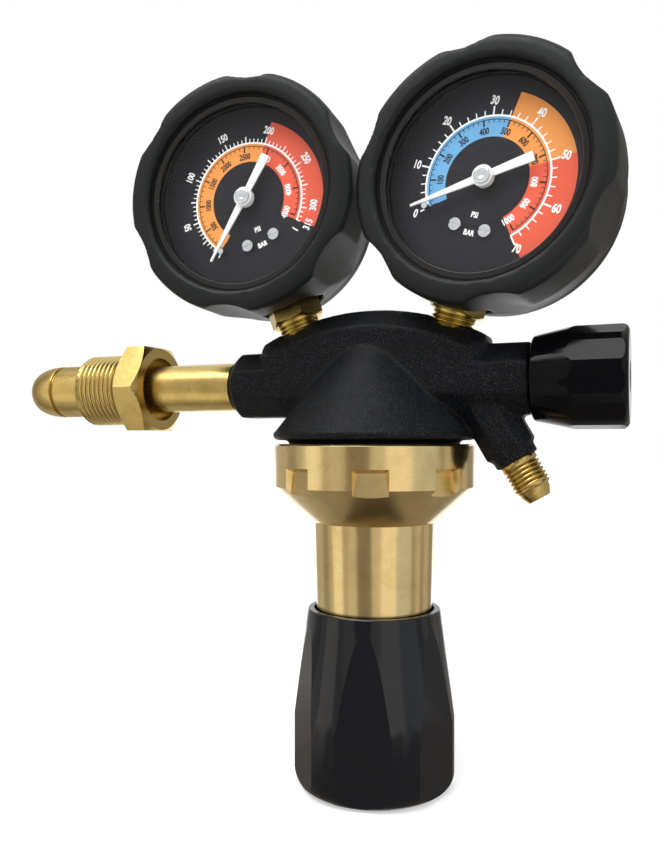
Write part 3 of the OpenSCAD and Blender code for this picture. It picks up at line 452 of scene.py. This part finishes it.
def speckled_coat():
    """The casting's black coat with its grain, and fine bright flecks painted into its colour as painted highlights:
    the grain's glints.
    """
    finish = Finish("cast_body", (0.0045, 0.0052, 0.0068), 0.0, 0.34, Specular_IOR_Level=0.13)
    grain = finish.group(GRAIN, Cells=2500.0, Fleck_Size=0.27)
    # Painted highlight: light grey flecks laid into the coat's colour, standing for glints off its grain.
    finish.blend(finish.range(grain["Fleck"], 0, 1, 0, 0.5), (0.12, 0.125, 0.13))
    finish.blend(finish.group(DUST, Amount=0.04)["Dust"], (0.25, 0.25, 0.24))
    finish.roughen(finish.noise(180.0), 0.14)
    finish.bump(grain["Height"], 0.85, 0.0002)
    finish.bump(finish.noise(240.0, 2.0), 0.25, 0.0006)
    return finish.material


def moulded_rubber(name, colour, dust):
    """Dull rubber with lighter patches, a fine grain and dust where it looks up."""
    finish = Finish(name, colour, 0.0, 0.46, Specular_IOR_Level=0.24)
    grain = finish.group(GRAIN, Cells=3200.0, Fleck_Size=0.1)
    finish.blend(finish.range(finish.noise(70.0), 0.4, 0.7, 0.0, 0.5), tuple(c * 1.5 for c in colour))
    finish.blend(finish.group(DUST, Amount=dust)["Dust"], (0.22, 0.22, 0.21))
    finish.roughen(finish.group(HANDLING, Cover=0.6)["Smudge"], -0.1)
    finish.bump(grain["Height"], 0.2, 0.0001)
    finish.bump(finish.noise(160.0, 2.0), 0.15, 0.0004)
    return finish.material


def gloss_plastic(name, colour, roughness, shine):
    """Polished plastic with smudges and fine scratches from hands."""
    finish = Finish(name, colour, 0.0, roughness, Specular_IOR_Level=shine)
    hands = finish.group(HANDLING, Cover=0.5)
    finish.roughen(hands["Smudge"], 0.12)
    finish.roughen(hands["Scratch"], 0.15)
    finish.blend(finish.range(hands["Scratch"], 0, 1, 0, 0.12), (0.05, 0.05, 0.06))
    finish.blend(finish.group(DUST, Amount=0.03)["Dust"], (0.2, 0.2, 0.2))
    finish.bump(finish.noise(300.0, 2.0), 0.05, 0.0003)
    return finish.material


def brass(name, colour, dark, roughness, axis, pitch=5200.0):
    """Turned brass: the marks follow the axis that the piece was turned about, and the dark tone lies in patches."""
    finish = Finish(name, colour, 1.0, roughness)
    split = finish.tree.nodes.new("ShaderNodeSeparateXYZ")
    finish.tree.links.new(finish.coords(), split.inputs["Vector"])
    lathe = finish.group(MARKS, Along=split.outputs[axis], Pitch=pitch)
    finish.blend(finish.range(lathe["Tone"], 0.45, 0.75, 0.0, 0.6), dark)
    finish.blend(finish.range(finish.noise(700.0), 0.58, 0.72, 0.0, 0.35), dark)
    hands = finish.group(HANDLING, Cover=0.55)
    finish.roughen(lathe["Height"], 0.12)
    finish.roughen(hands["Smudge"], 0.1)
    finish.bump(lathe["Height"], 0.12, 0.00006)
    finish.bump(finish.noise(900.0, 3.0), 0.05, 0.0001)
    return finish.material


def steel(name, colour, roughness):
    finish = Finish(name, colour, 1.0, roughness)
    hands = finish.group(HANDLING, Cover=0.4)
    finish.blend(finish.range(finish.noise(500.0), 0.5, 0.8, 0.0, 0.5), tuple(c * 0.7 for c in colour))
    finish.roughen(hands["Smudge"], 0.12)
    finish.bump(finish.noise(2600.0, 3.0), 0.12, 0.00008)
    return finish.material


def flat_paint(name, colour, roughness, lift=1.25, bump=0.05, shine=0.5):
    """Paint or print whose colour is lifted by a factor in soft patches."""
    finish = Finish(name, colour, 0.0, roughness, Specular_IOR_Level=shine)
    finish.blend(finish.range(finish.noise(300.0), 0.4, 0.75, 0.0, 0.5), tuple(min(1.0, c * lift) for c in colour))
    finish.roughen(finish.noise(800.0), 0.08)
    if bump:
        finish.bump(finish.noise(1800.0, 2.0), bump, 0.00002)
    return finish.material


def print_ink(name, colour):
    return flat_paint(name, colour, 0.5, lift=1.05, bump=0, shine=0.2)


def sintered():
    """The inlet filter's grains."""
    finish = Finish("sintered_bronze", (0.45, 0.30, 0.13), 1.0, 0.55)
    grain = finish.group(GRAIN, Cells=4500.0, Fleck_Size=0.3)
    finish.blend(finish.range(grain["Fleck"], 0, 1, 0, 0.6), (0.66, 0.48, 0.24))
    finish.bump(grain["Height"], 0.8, 0.00015)
    return finish.material


def clear_lens():
    """Clear plastic that lets the lamps' light through to the dial."""
    finish = Finish(
        "lens_glass", (0.97, 0.98, 0.98), 0.0, 0.02, Transmission_Weight=1.0, IOR=1.22, Specular_IOR_Level=0.5
    )
    finish.roughen(finish.group(HANDLING, Cover=0.35)["Smudge"], 0.03)
    finish.bump(finish.noise(60.0, 2.0), 0.02, 0.0003)
    tree = finish.tree
    mix = tree.nodes.new("ShaderNodeMixShader")
    clear = tree.nodes.new("ShaderNodeBsdfTransparent")
    path = tree.nodes.new("ShaderNodeLightPath")
    tree.links.new(path.outputs["Is Shadow Ray"], mix.inputs["Fac"])
    tree.links.new(finish.shader.outputs["BSDF"], mix.inputs[1])
    tree.links.new(clear.outputs["BSDF"], mix.inputs[2])
    tree.links.new(mix.outputs["Shader"], tree.nodes["Material Output"].inputs["Surface"])
    return finish.material


FINISHES = {
    "cast_body": speckled_coat(),
    "turned_brass": brass("turned_brass_x", (0.67, 0.50, 0.175), (0.46, 0.31, 0.09), 0.18, "X"),
    "hex_brass": brass("hex_brass", (0.70, 0.54, 0.17), (0.46, 0.31, 0.08), 0.22, "Z", 3000.0),
    "sintered_bronze": sintered(),
    "seat_plastic": flat_paint("seat_plastic", (0.78, 0.78, 0.74), 0.4),
    "spring_steel": steel("spring_steel", (0.55, 0.56, 0.58), 0.25),
    "zinc_steel": steel("zinc_steel", (0.60, 0.61, 0.63), 0.3),
    "black_rubber": moulded_rubber("black_rubber", (0.012, 0.012, 0.013), 0.03),
    "boot_rubber": moulded_rubber("boot_rubber", (0.0095, 0.011, 0.0115), 0.05),
    "knob_plastic": gloss_plastic("knob_plastic", (0.0035, 0.005, 0.008), 0.10, 0.5),
    "valve_knob_plastic": gloss_plastic("valve_knob_plastic", (0.002, 0.002, 0.003), 0.12, 0.16),
    "case_steel": flat_paint("case_steel", (0.013, 0.013, 0.0125), 0.2, shine=0.25),
    "dial_print": flat_paint("dial_print", (0.010, 0.009, 0.0125), 0.42, bump=0, shine=0.15),
    "pointer_white": flat_paint("pointer_white", (0.66, 0.66, 0.65), 0.35),
    "bright_screw": steel("bright_screw", (0.60, 0.61, 0.62), 0.2),
    "lens_glass": clear_lens(),
    "ring_black": flat_paint("ring_black", (0.016, 0.016, 0.0155), 0.16, shine=0.4),
}
BONNET_BRASS = brass("turned_brass_z", (0.86, 0.67, 0.32), (0.65, 0.47, 0.20), 0.12, "Z")
PRINT_WHITE = print_ink("print_white", (0.85, 0.85, 0.85))
PRINT_BLACK = print_ink("print_black", (0.010, 0.009, 0.009))
PRINT_ORANGE = print_ink("print_orange", (0.74, 0.27, 0.055))
PRINT_RED = print_ink("print_red", (0.70, 0.095, 0.045))
PRINT_BLUE = print_ink("print_blue", (0.12, 0.34, 0.58))

for node_name, node in NODES.items():
    node.data.materials.clear()
    node.data.materials.append(FINISHES[SLOT_OF[node_name]])
for node_name in ("bonnet", "slip_ring", "seat_nozzle"):  # turned about Z, where the other brass turns about X
    NODES[node_name].data.materials[0] = BONNET_BRASS


# Castings and mouldings

body = softened("body", "cast_housing", voxel=0.6 * MM, passes=8)
dress(body, FINISHES["cast_body"], "root", "cast_body", "body")

for side in GAUGES:
    boot = softened(side + "_boot", side + "_rubber_boot", voxel=0.65 * MM, passes=6)
    dress(boot, FINISHES["boot_rubber"], "root", "boot_rubber", side + "_boot")

UPSIDE_DOWN = Matrix.Rotation(math.pi, 4, "X")
knob = fluted(
    "adjusting_knob", "fluted_adjusting_knob", UPSIDE_DOWN, flats=6, phase=79, tilt=4.47, width=0.22 * MM
)
dress(knob, FINISHES["knob_plastic"], "adjusting_knob", "knob_plastic", "adjusting_knob")
valve_grip = fluted("valve_knob", "fluted_valve_knob", ALONG_X, flats=10, phase=27, tilt=11.5, width=0.15 * MM)
dress(valve_grip, FINISHES["valve_knob_plastic"], "valve_knob", "valve_knob_plastic", "valve_knob")


# Machined brass

POCKET_DRAW = 0.76


def tapered_pockets(piece):
    """Draws the upper end of each spanner pocket's floor in, so that the walls slope there."""
    join_flats(piece)
    reach = math.hypot(POCKET_HALF_W, POCKET_HALF_H) + 0.2 * MM
    for i in range(POCKETS):
        turn = math.radians(POCKET_PHASE + i * 360 / POCKETS)
        out = Vector((math.cos(turn), math.sin(turn), 0))
        middle = BONNET_AXIS + out * POCKET_FLOOR_R + Vector((0, 0, POCKET_MIDDLE_Z))

        def upper_floor(vertex):
            away = vertex.co - middle
            return away.z > 0 and abs(away.dot(out)) < 0.05 * MM and away.length < reach

        pick(piece, "VERT", upper_floor)
        bpy.ops.transform.resize(value=(POCKET_DRAW,) * 3, center_override=middle)
        bpy.ops.object.mode_set(mode="OBJECT")
    return eased(piece, width=0.35 * MM)


bonnet = tapered_pockets(copy_of("bonnet", "turned_bonnet"))
dress(bonnet, BONNET_BRASS, "root", "turned_brass", "bonnet")

nut = eased(copy_of("inlet_nut", "threaded_inlet_nut"), width=0.3 * MM)
cut_thread(nut, ALONG_X, radius=12.25 * MM, pitch=1.814 * MM, start=-10.6 * MM, turns=10)
dress(nut, FINISHES["turned_brass"], "inlet_nut", "turned_brass", "inlet_nut")

stem = eased(copy_of("inlet_stem", "bullet_stem"), width=0.25 * MM)
dress(stem, FINISHES["turned_brass"], "root", "turned_brass", "inlet_stem")

fitting = eased(copy_of("outlet_fitting", "flare_fitting"), width=0.2 * MM)
cut_thread(fitting, BRANCH, radius=5.55 * MM, pitch=1.27 * MM, start=28.6 * MM, turns=7)
dress(fitting, FINISHES["turned_brass"], "root", "turned_brass", "outlet_fitting")

for side, place in GAUGES.items():
    socket = eased(copy_of(side + "_socket", side + "_gauge_stem"), width=0.25 * MM)
    down = place @ Matrix.Rotation(math.pi / 2, 4, "X")
    cut_thread(socket, down, radius=6.55 * MM, pitch=1.337 * MM, start=GAUGE_RISE[side] - 1.7 * MM, turns=6)
    dress(socket, FINISHES["hex_brass"], "root", "hex_brass", side + "_socket")
    bezel = eased(copy_of(side + "_front_ring", side + "_lens_bezel"), width=0.35 * MM)
    dress(bezel, FINISHES["ring_black"], "root", "ring_black", side + "_front_ring")


# Springs and the diaphragm

def squeezed(node, name, finish):
    """A copy of a spring or diaphragm, shaded smooth and with a mesh of its own."""
    piece = copy_of(node, name)
    bpy.ops.object.shade_smooth_by_angle(angle=math.radians(70))
    dress(piece, FINISHES[finish], "root", finish, node)
    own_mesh(piece)


squeezed("main_spring", "wound_main_spring", "spring_steel")
squeezed("poppet_spring", "wound_poppet_spring", "spring_steel")
squeezed("diaphragm", "rubber_diaphragm", "black_rubber")


# Dials

def arc(inner, outer, start, span, height):
    """A flat strip between two radii that runs clockwise from an angle, all in mm and degrees."""
    bpy.ops.mesh.primitive_plane_add(size=MM, location=((inner + outer) / 2 * MM, 0.5 * MM, height * MM))
    strip = new_piece("arc")
    strip.scale.x = outer - inner
    settle(strip)
    pick(strip, "VERT", lambda vertex: vertex.co.y > 0.5 * MM)
    bpy.ops.mesh.delete(type="VERT")
    bpy.ops.mesh.select_all(action="SELECT")
    bpy.ops.mesh.spin(steps=max(2, round(span / 2)), angle=math.radians(span), center=(0, 0, 0), axis=(0, 0, 1))
    bpy.ops.object.mode_set(mode="OBJECT")
    return facing_viewer(settle(strip, Matrix.Rotation(math.radians(start), 4, "Z")))


def facing_viewer(piece):
    """Turns flat print over where its faces look away from the dial's viewer."""
    if sum(face.normal.z for face in piece.data.polygons) < 0:
        in_edit(piece, bpy.ops.mesh.flip_normals)
    return piece


def ticks(inner, outer, width, start, step, count, height):
    """Equal strokes that run clockwise from an angle."""
    bpy.ops.mesh.primitive_plane_add(size=MM, location=((inner + outer) / 2 * MM, 0, height * MM))
    stroke = new_piece("ticks")
    stroke.scale = (outer - inner, width, 1)
    settle(stroke)
    in_edit(
        stroke,
        lambda: bpy.ops.mesh.spin(
            steps=count - 1, angle=math.radians(step * (count - 1)), dupli=True, center=(0, 0, 0), axis=(0, 0, 1)
        ),
    )
    return facing_viewer(settle(stroke, Matrix.Rotation(math.radians(start), 4, "Z")))


def word(text, size, x, y, turn, height, narrow=0.72):
    """Flat lettering about a middle, a little bolder and narrower than the plain font."""
    bpy.ops.object.text_add()
    lettering = bpy.context.object
    lettering.data.body = text
    lettering.data.size = size * MM
    lettering.data.align_x = "CENTER"
    lettering.data.align_y = "CENTER"
    lettering.data.resolution_u = 3
    lettering.data.offset = 0.035 * size * MM
    only(lettering)
    bpy.ops.object.convert(target="MESH")
    lettering = new_piece("word")
    lettering.scale.x = narrow
    settle(lettering)
    return settle(
        lettering,
        Matrix.Translation((x * MM, y * MM, height * MM)) @ Matrix.Rotation(math.radians(turn), 4, "Z"),
    )


def number_round(text, size, angle, radius, height, upright=False):
    """A number on the scale: along the arc, and turned over where it would stand on its head."""
    turn = 0 if upright else (angle + 90 if angle < TURNED_OVER else angle - 90)
    reach = math.radians(angle)
    return word(text, size, radius * math.cos(reach), radius * math.sin(reach), turn, height)


# Angles in degrees, radii and heights in mm
SCALE_START = {"high": 220.5, "low": 216.9}
SCALE_SPAN = 264.7
TURNED_OVER = 9.5
BAND_IN, BAND_OUT, DIAL_EDGE = 12.3, 18.3, 25.3
BAR_ARC = (17.95, 18.5)
BAR_STROKES_IN, BAR_NUMBERS_R = 18.2, 22.5
PSI_ARC = (17.05, 17.3)
PSI_STROKES_IN, PSI_LONG_IN, PSI_STROKES_OUT = 16.2, 15.3, 17.2
PSI_NUMBERS_R, PSI_SIZE, UNIT_SIZE = 13.9, 2.6, 2.2
PRINT_Z = DIAL_FACE / MM + 0.03
INK_Z = PRINT_Z + 0.03
BAR_PER_PSI = 0.06895


def printed_dial(side, full, zones, wide_from, strokes, numbers, size, upright, psi_step, psi_numbers):
    """Bands, arcs, strokes and numbers of one dial. Zones are (from bar, to bar, ink), and run out to
    the dial's edge from one value on. Strokes are (step, outer radius, width), numbers (text, bar).
    Pounds are black, and white where the last zone's ink is under them."""
    start = SCALE_START[side]
    per = SCALE_SPAN / full
    inks = {"orange": PRINT_ORANGE, "red": PRINT_RED, "blue": PRINT_BLUE}
    bands = {ink: [] for low, high, ink in zones}
    for low, high, ink in zones:
        outer = DIAL_EDGE if low >= wide_from else BAND_OUT
        bands[ink].append(arc(BAND_IN, outer, start - low * per, (high - low) * per, PRINT_Z))
    white = [arc(*BAR_ARC, start, SCALE_SPAN, INK_Z)]
    for step, outer, width in strokes:
        white.append(ticks(BAR_STROKES_IN, outer, width, start, step * per, round(full / step) + 1, INK_Z))
    for text, bar in numbers:
        white.append(number_round(text, size, start - bar * per, BAR_NUMBERS_R, INK_Z, upright))
    psi = BAR_PER_PSI * per
    psi_end = psi_numbers[-1]
    black = [arc(*PSI_ARC, start, psi_end * psi, INK_Z)]
    fine = round(psi_end / psi_step) + 1
    black.append(ticks(PSI_STROKES_IN, PSI_STROKES_OUT, 0.22, start, psi_step * psi, fine, INK_Z))
    black.append(ticks(PSI_LONG_IN, PSI_STROKES_OUT, 0.5, start, psi_numbers[0] * psi, len(psi_numbers) + 1, INK_Z))
    for value in psi_numbers:
        layer = white if value * BAR_PER_PSI > zones[-1][0] else black
        layer.append(number_round(str(value), PSI_SIZE, start - value * psi, PSI_NUMBERS_R, INK_Z))
    white.append(word("PSI", UNIT_SIZE, 0, -10.2, 0, INK_Z, narrow=0.8))
    white.append(word("BAR", UNIT_SIZE, 0, -15.4, 0, INK_Z, narrow=0.8))
    for ink, strips in bands.items():
        band = settle(joined(strips, f"{side}_{ink}_band"), GAUGES[side])
        dress(band, inks[ink], "root", "dial_print")
    dress(settle(joined(white, side + "_white_print"), GAUGES[side]), PRINT_WHITE, "root", "dial_print")
    dress(settle(joined(black, side + "_black_print"), GAUGES[side]), PRINT_BLACK, "root", "dial_print")


printed_dial(
    "high", full=315, zones=[(0, 200, "orange"), (200, 315, "red")], wide_from=200,
    strokes=[(5, 19.6, 0.3), (25, 20.4, 0.42)],
    numbers=[(str(bar), bar) for bar in range(50, 251, 50)] + [("300", 296.5), ("315", 315)],
    size=3.2, upright=False, psi_step=100, psi_numbers=range(500, 4501, 500),
)
printed_dial(
    "low", full=70, zones=[(0, 34.5, "blue"), (34.5, 50, "orange"), (50, 70, "red")], wide_from=34.5,
    strokes=[(2, 19.9, 0.32), (10, 20.9, 0.5)],
    numbers=[(str(bar), bar) for bar in range(0, 71, 10)],
    size=3.4, upright=True, psi_step=20, psi_numbers=range(100, 1001, 100),
)


def pointer_cap(side):
    """The turned end of the arbor, riveted over the pointer's hub."""
    bpy.ops.mesh.primitive_cylinder_add(vertices=48, radius=2.35 * MM, depth=0.5 * MM, location=(0, 0, 14.75 * MM))
    cap = new_piece(side + "_pointer_cap")
    settle(cap)
    pick(cap, "FACE", lambda face: face.normal.z > 0.9)
    bpy.ops.mesh.inset(thickness=0.5 * MM)
    bpy.ops.transform.translate(value=(0, 0, 0.12 * MM))
    bpy.ops.mesh.inset(thickness=1.0 * MM)
    bpy.ops.mesh.extrude_region_move(TRANSFORM_OT_translate={"value": (0, 0, -0.3 * MM)})
    bpy.ops.object.mode_set(mode="OBJECT")
    shaped(cap, "BEVEL", width=0.12 * MM, segments=2, limit_method="ANGLE", angle_limit=math.radians(30))
    bpy.ops.object.shade_smooth_by_angle(angle=math.radians(30))
    settle(cap, GAUGES[side])
    dress(cap, FINISHES["bright_screw"], side + "_pointer", "bright_screw")


def relief_plug(side):
    """The rubber plug in the back of the case that lets a burst out."""
    bpy.ops.mesh.primitive_cylinder_add(vertices=64, radius=9 * MM, depth=1.2 * MM, location=(0, 10 * MM, -13.5 * MM))
    plug = new_piece(side + "_relief_plug")
    settle(plug)
    pick(plug, "FACE", lambda face: face.normal.z < -0.9)
    bpy.ops.mesh.inset(thickness=1.4 * MM)
    bpy.ops.mesh.extrude_region_move(TRANSFORM_OT_translate={"value": (0, 0, 0.5 * MM)})
    bpy.ops.mesh.inset(thickness=4.0 * MM)
    bpy.ops.mesh.extrude_region_move(TRANSFORM_OT_translate={"value": (0, 0, -0.4 * MM)})
    bpy.ops.object.mode_set(mode="OBJECT")
    shaped(plug, "BEVEL", width=0.25 * MM, segments=3, limit_method="ANGLE", angle_limit=math.radians(30))
    bpy.ops.object.shade_smooth_by_angle(angle=math.radians(30))
    settle(plug, GAUGES[side])
    dress(plug, FINISHES["black_rubber"], "root", "black_rubber")


for side in GAUGES:
    pointer_cap(side)
    relief_plug(side)


# Floor, backdrop and lamps

def seen_rays(tree):
    """1 where the camera sees the surface straight, in a reflection or through glass."""
    path = tree.nodes.new("ShaderNodeLightPath")
    seen = maths(tree, "MAXIMUM", path.outputs["Is Camera Ray"], path.outputs["Is Glossy Ray"])
    return maths(tree, "MAXIMUM", seen, path.outputs["Is Transmission Ray"])


def white_floor():
    """White where the camera or a reflection sees it, greyer near the object, and plain paper for the light,
    so that the object's shadow stays."""
    finish = bpy.data.materials.new("studio_floor")
    finish.use_nodes = True
    tree = finish.node_tree
    tree.nodes.clear()
    out = tree.nodes.new("ShaderNodeOutputMaterial")
    paper = tree.nodes.new("ShaderNodeBsdfDiffuse")
    paper.inputs["Color"].default_value = (0.80, 0.80, 0.80, 1)
    glow = tree.nodes.new("ShaderNodeEmission")
    length = tree.nodes.new("ShaderNodeVectorMath")
    length.operation = "LENGTH"
    tree.links.new(tree.nodes.new("ShaderNodeTexCoord").outputs["Object"], length.inputs[0])
    far = ranged(tree, length.outputs["Value"], 0.15, 1.0, 0.45, 1.0)
    tree.links.new(maths(tree, "MULTIPLY", seen_rays(tree), far), glow.inputs["Strength"])
    add = tree.nodes.new("ShaderNodeAddShader")
    tree.links.new(paper.outputs["BSDF"], add.inputs[0])
    tree.links.new(glow.outputs["Emission"], add.inputs[1])
    tree.links.new(add.outputs["Shader"], out.inputs["Surface"])
    return finish


bpy.ops.mesh.primitive_plane_add(size=8, location=(BONNET_AXIS.x, 0, FLOOR_Z))
floor = new_piece("studio_floor")
floor.data.materials.append(white_floor())


def backdrop(sky, colour, strength):
    """One of the world's two plain colours."""
    light = sky.nodes.new("ShaderNodeBackground")
    light.inputs["Color"].default_value = (*colour, 1)
    light.inputs["Strength"].default_value = strength
    return light.outputs["Background"]


def white_world():
    """White where it is seen, and a soft light where it only lights the object."""
    world = bpy.data.worlds.new("studio")
    bpy.context.scene.world = world
    world.use_nodes = True
    sky = world.node_tree
    sky.nodes.clear()
    mix = sky.nodes.new("ShaderNodeMixShader")
    sky.links.new(seen_rays(sky), mix.inputs["Fac"])
    sky.links.new(backdrop(sky, (0.96, 0.98, 1.0), 0.42), mix.inputs[1])
    sky.links.new(backdrop(sky, (1, 1, 1), 1.0), mix.inputs[2])
    sky.links.new(mix.outputs["Shader"], sky.nodes.new("ShaderNodeOutputWorld").inputs["Surface"])


white_world()


def lamp(name, place, power, width, height, shines=False):
    """A soft box that looks at the object's middle."""
    bpy.ops.object.light_add(type="AREA", location=place)
    light = bpy.context.object
    light.name = name
    light.data.shape = "RECTANGLE"
    light.data.size = width
    light.data.size_y = height
    light.data.energy = power
    light.rotation_euler = (MIDDLE - Vector(place)).to_track_quat("-Z", "Y").to_euler()
    light.visible_camera = False
    light.visible_glossy = shines


MIDDLE = Vector((0.10, 0.0, -0.01))
lamp("top_softbox", (-0.15, -0.55, 0.95), power=9.0, width=0.9, height=0.7, shines=True)
lamp("right_softbox", (1.0, -0.35, 0.35), power=4.0, width=0.5, height=0.8)
lamp("back_softbox", (0.0, 0.9, 0.7), power=4.0, width=0.8, height=0.6)


def reflected_only(card, tone, brightness, fade=None):
    """Makes a card one that only shows as a reflection in the object. It may fade out between two radii."""
    paint = bpy.data.materials.new(card.name)
    paint.use_nodes = True
    tree = paint.node_tree
    tree.nodes.clear()
    out = tree.nodes.new("ShaderNodeOutputMaterial")
    glow = tree.nodes.new("ShaderNodeEmission")
    glow.inputs["Color"].default_value = (*tone, 1)
    glow.inputs["Strength"].default_value = brightness
    if fade:
        reach = tree.nodes.new("ShaderNodeVectorMath")
        reach.operation = "LENGTH"
        tree.links.new(tree.nodes.new("ShaderNodeTexCoord").outputs["Object"], reach.inputs[0])
        mix = tree.nodes.new("ShaderNodeMixShader")
        tree.links.new(ranged(tree, reach.outputs["Value"], *fade, 0.0, 1.0), mix.inputs["Fac"])
        tree.links.new(glow.outputs["Emission"], mix.inputs[1])
        tree.links.new(tree.nodes.new("ShaderNodeBsdfTransparent").outputs["BSDF"], mix.inputs[2])
        tree.links.new(mix.outputs["Shader"], out.inputs["Surface"])
    else:
        tree.links.new(glow.outputs["Emission"], out.inputs["Surface"])
    card.data.materials.append(paint)
    card.visible_camera = False
    card.visible_diffuse = False
    card.visible_shadow = False
    card.visible_transmission = False


CARD_DISTANCE = 0.9
CARD_TOP = 1.0
CARD_LIFT = 0.0008
WARM = (1.0, 0.94, 0.85)
TO_CAMERA = math.atan2(camera.location.y, camera.location.x - BONNET_AXIS.x)


def card(start, end, brightness, tone=WARM):
    """A tall studio card from one azimuth to another, in degrees to the camera's right. It runs on over
    the floor to a point under the object, and shows as a streak in the brass and the knobs."""
    turn = TO_CAMERA + math.radians((start + end) / 2)
    height = CARD_TOP - FLOOR_Z
    place = (
        BONNET_AXIS.x + CARD_DISTANCE * math.cos(turn), CARD_DISTANCE * math.sin(turn), FLOOR_Z + height / 2
    )
    bpy.ops.mesh.primitive_plane_add(size=1, location=place, rotation=(math.pi / 2, 0, turn + math.pi / 2))
    piece = new_piece(f"card_{start + 180}")
    piece.scale = (2 * CARD_DISTANCE * math.tan(math.radians((end - start) / 2)), height, 1)
    settle(piece)
    pick(piece, "VERT", lambda vertex: vertex.co.z < FLOOR_Z + height / 2)
    inward = (BONNET_AXIS.x - place[0], -place[1], CARD_LIFT)
    bpy.ops.mesh.extrude_edges_move(TRANSFORM_OT_translate={"value": inward})
    bpy.ops.mesh.merge(type="CENTER")
    bpy.ops.object.mode_set(mode="OBJECT")
    reflected_only(piece, tone, brightness)


CARDS = [
    (-150, -112, 0.50), (-112, -96, 0.30), (-96, -82, 0.50), (-82, -60, 1.00), (-60, -50, 0.45), (-50, -32, 0.62),
    (-32, -4, 0.24, (1.0, 0.86, 0.78)), (-4, 12, 0.62), (12, 42, 0.95), (42, 74, 0.62, (0.95, 0.97, 1.0)),
    (74, 84, 0.34), (84, 98, 0.55), (98, 108, 0.30), (108, 126, 0.50), (126, 150, 0.30),
]
for settings in CARDS:
    card(*settings)

# Painted shade: a dim disc on the floor under the object, seen only in reflections, that darkens the floor there as
# shade would.
FLOOR_CARD_R = 0.16
bpy.ops.mesh.primitive_circle_add(
    vertices=64, radius=FLOOR_CARD_R, fill_type="NGON", location=(BONNET_AXIS.x + 0.02, 0.0, FLOOR_Z + 2 * CARD_LIFT)
)
reflected_only(new_piece("floor_shade_card"), (1.0, 0.85, 0.7), 0.25, fade=(0.05, FLOOR_CARD_R))
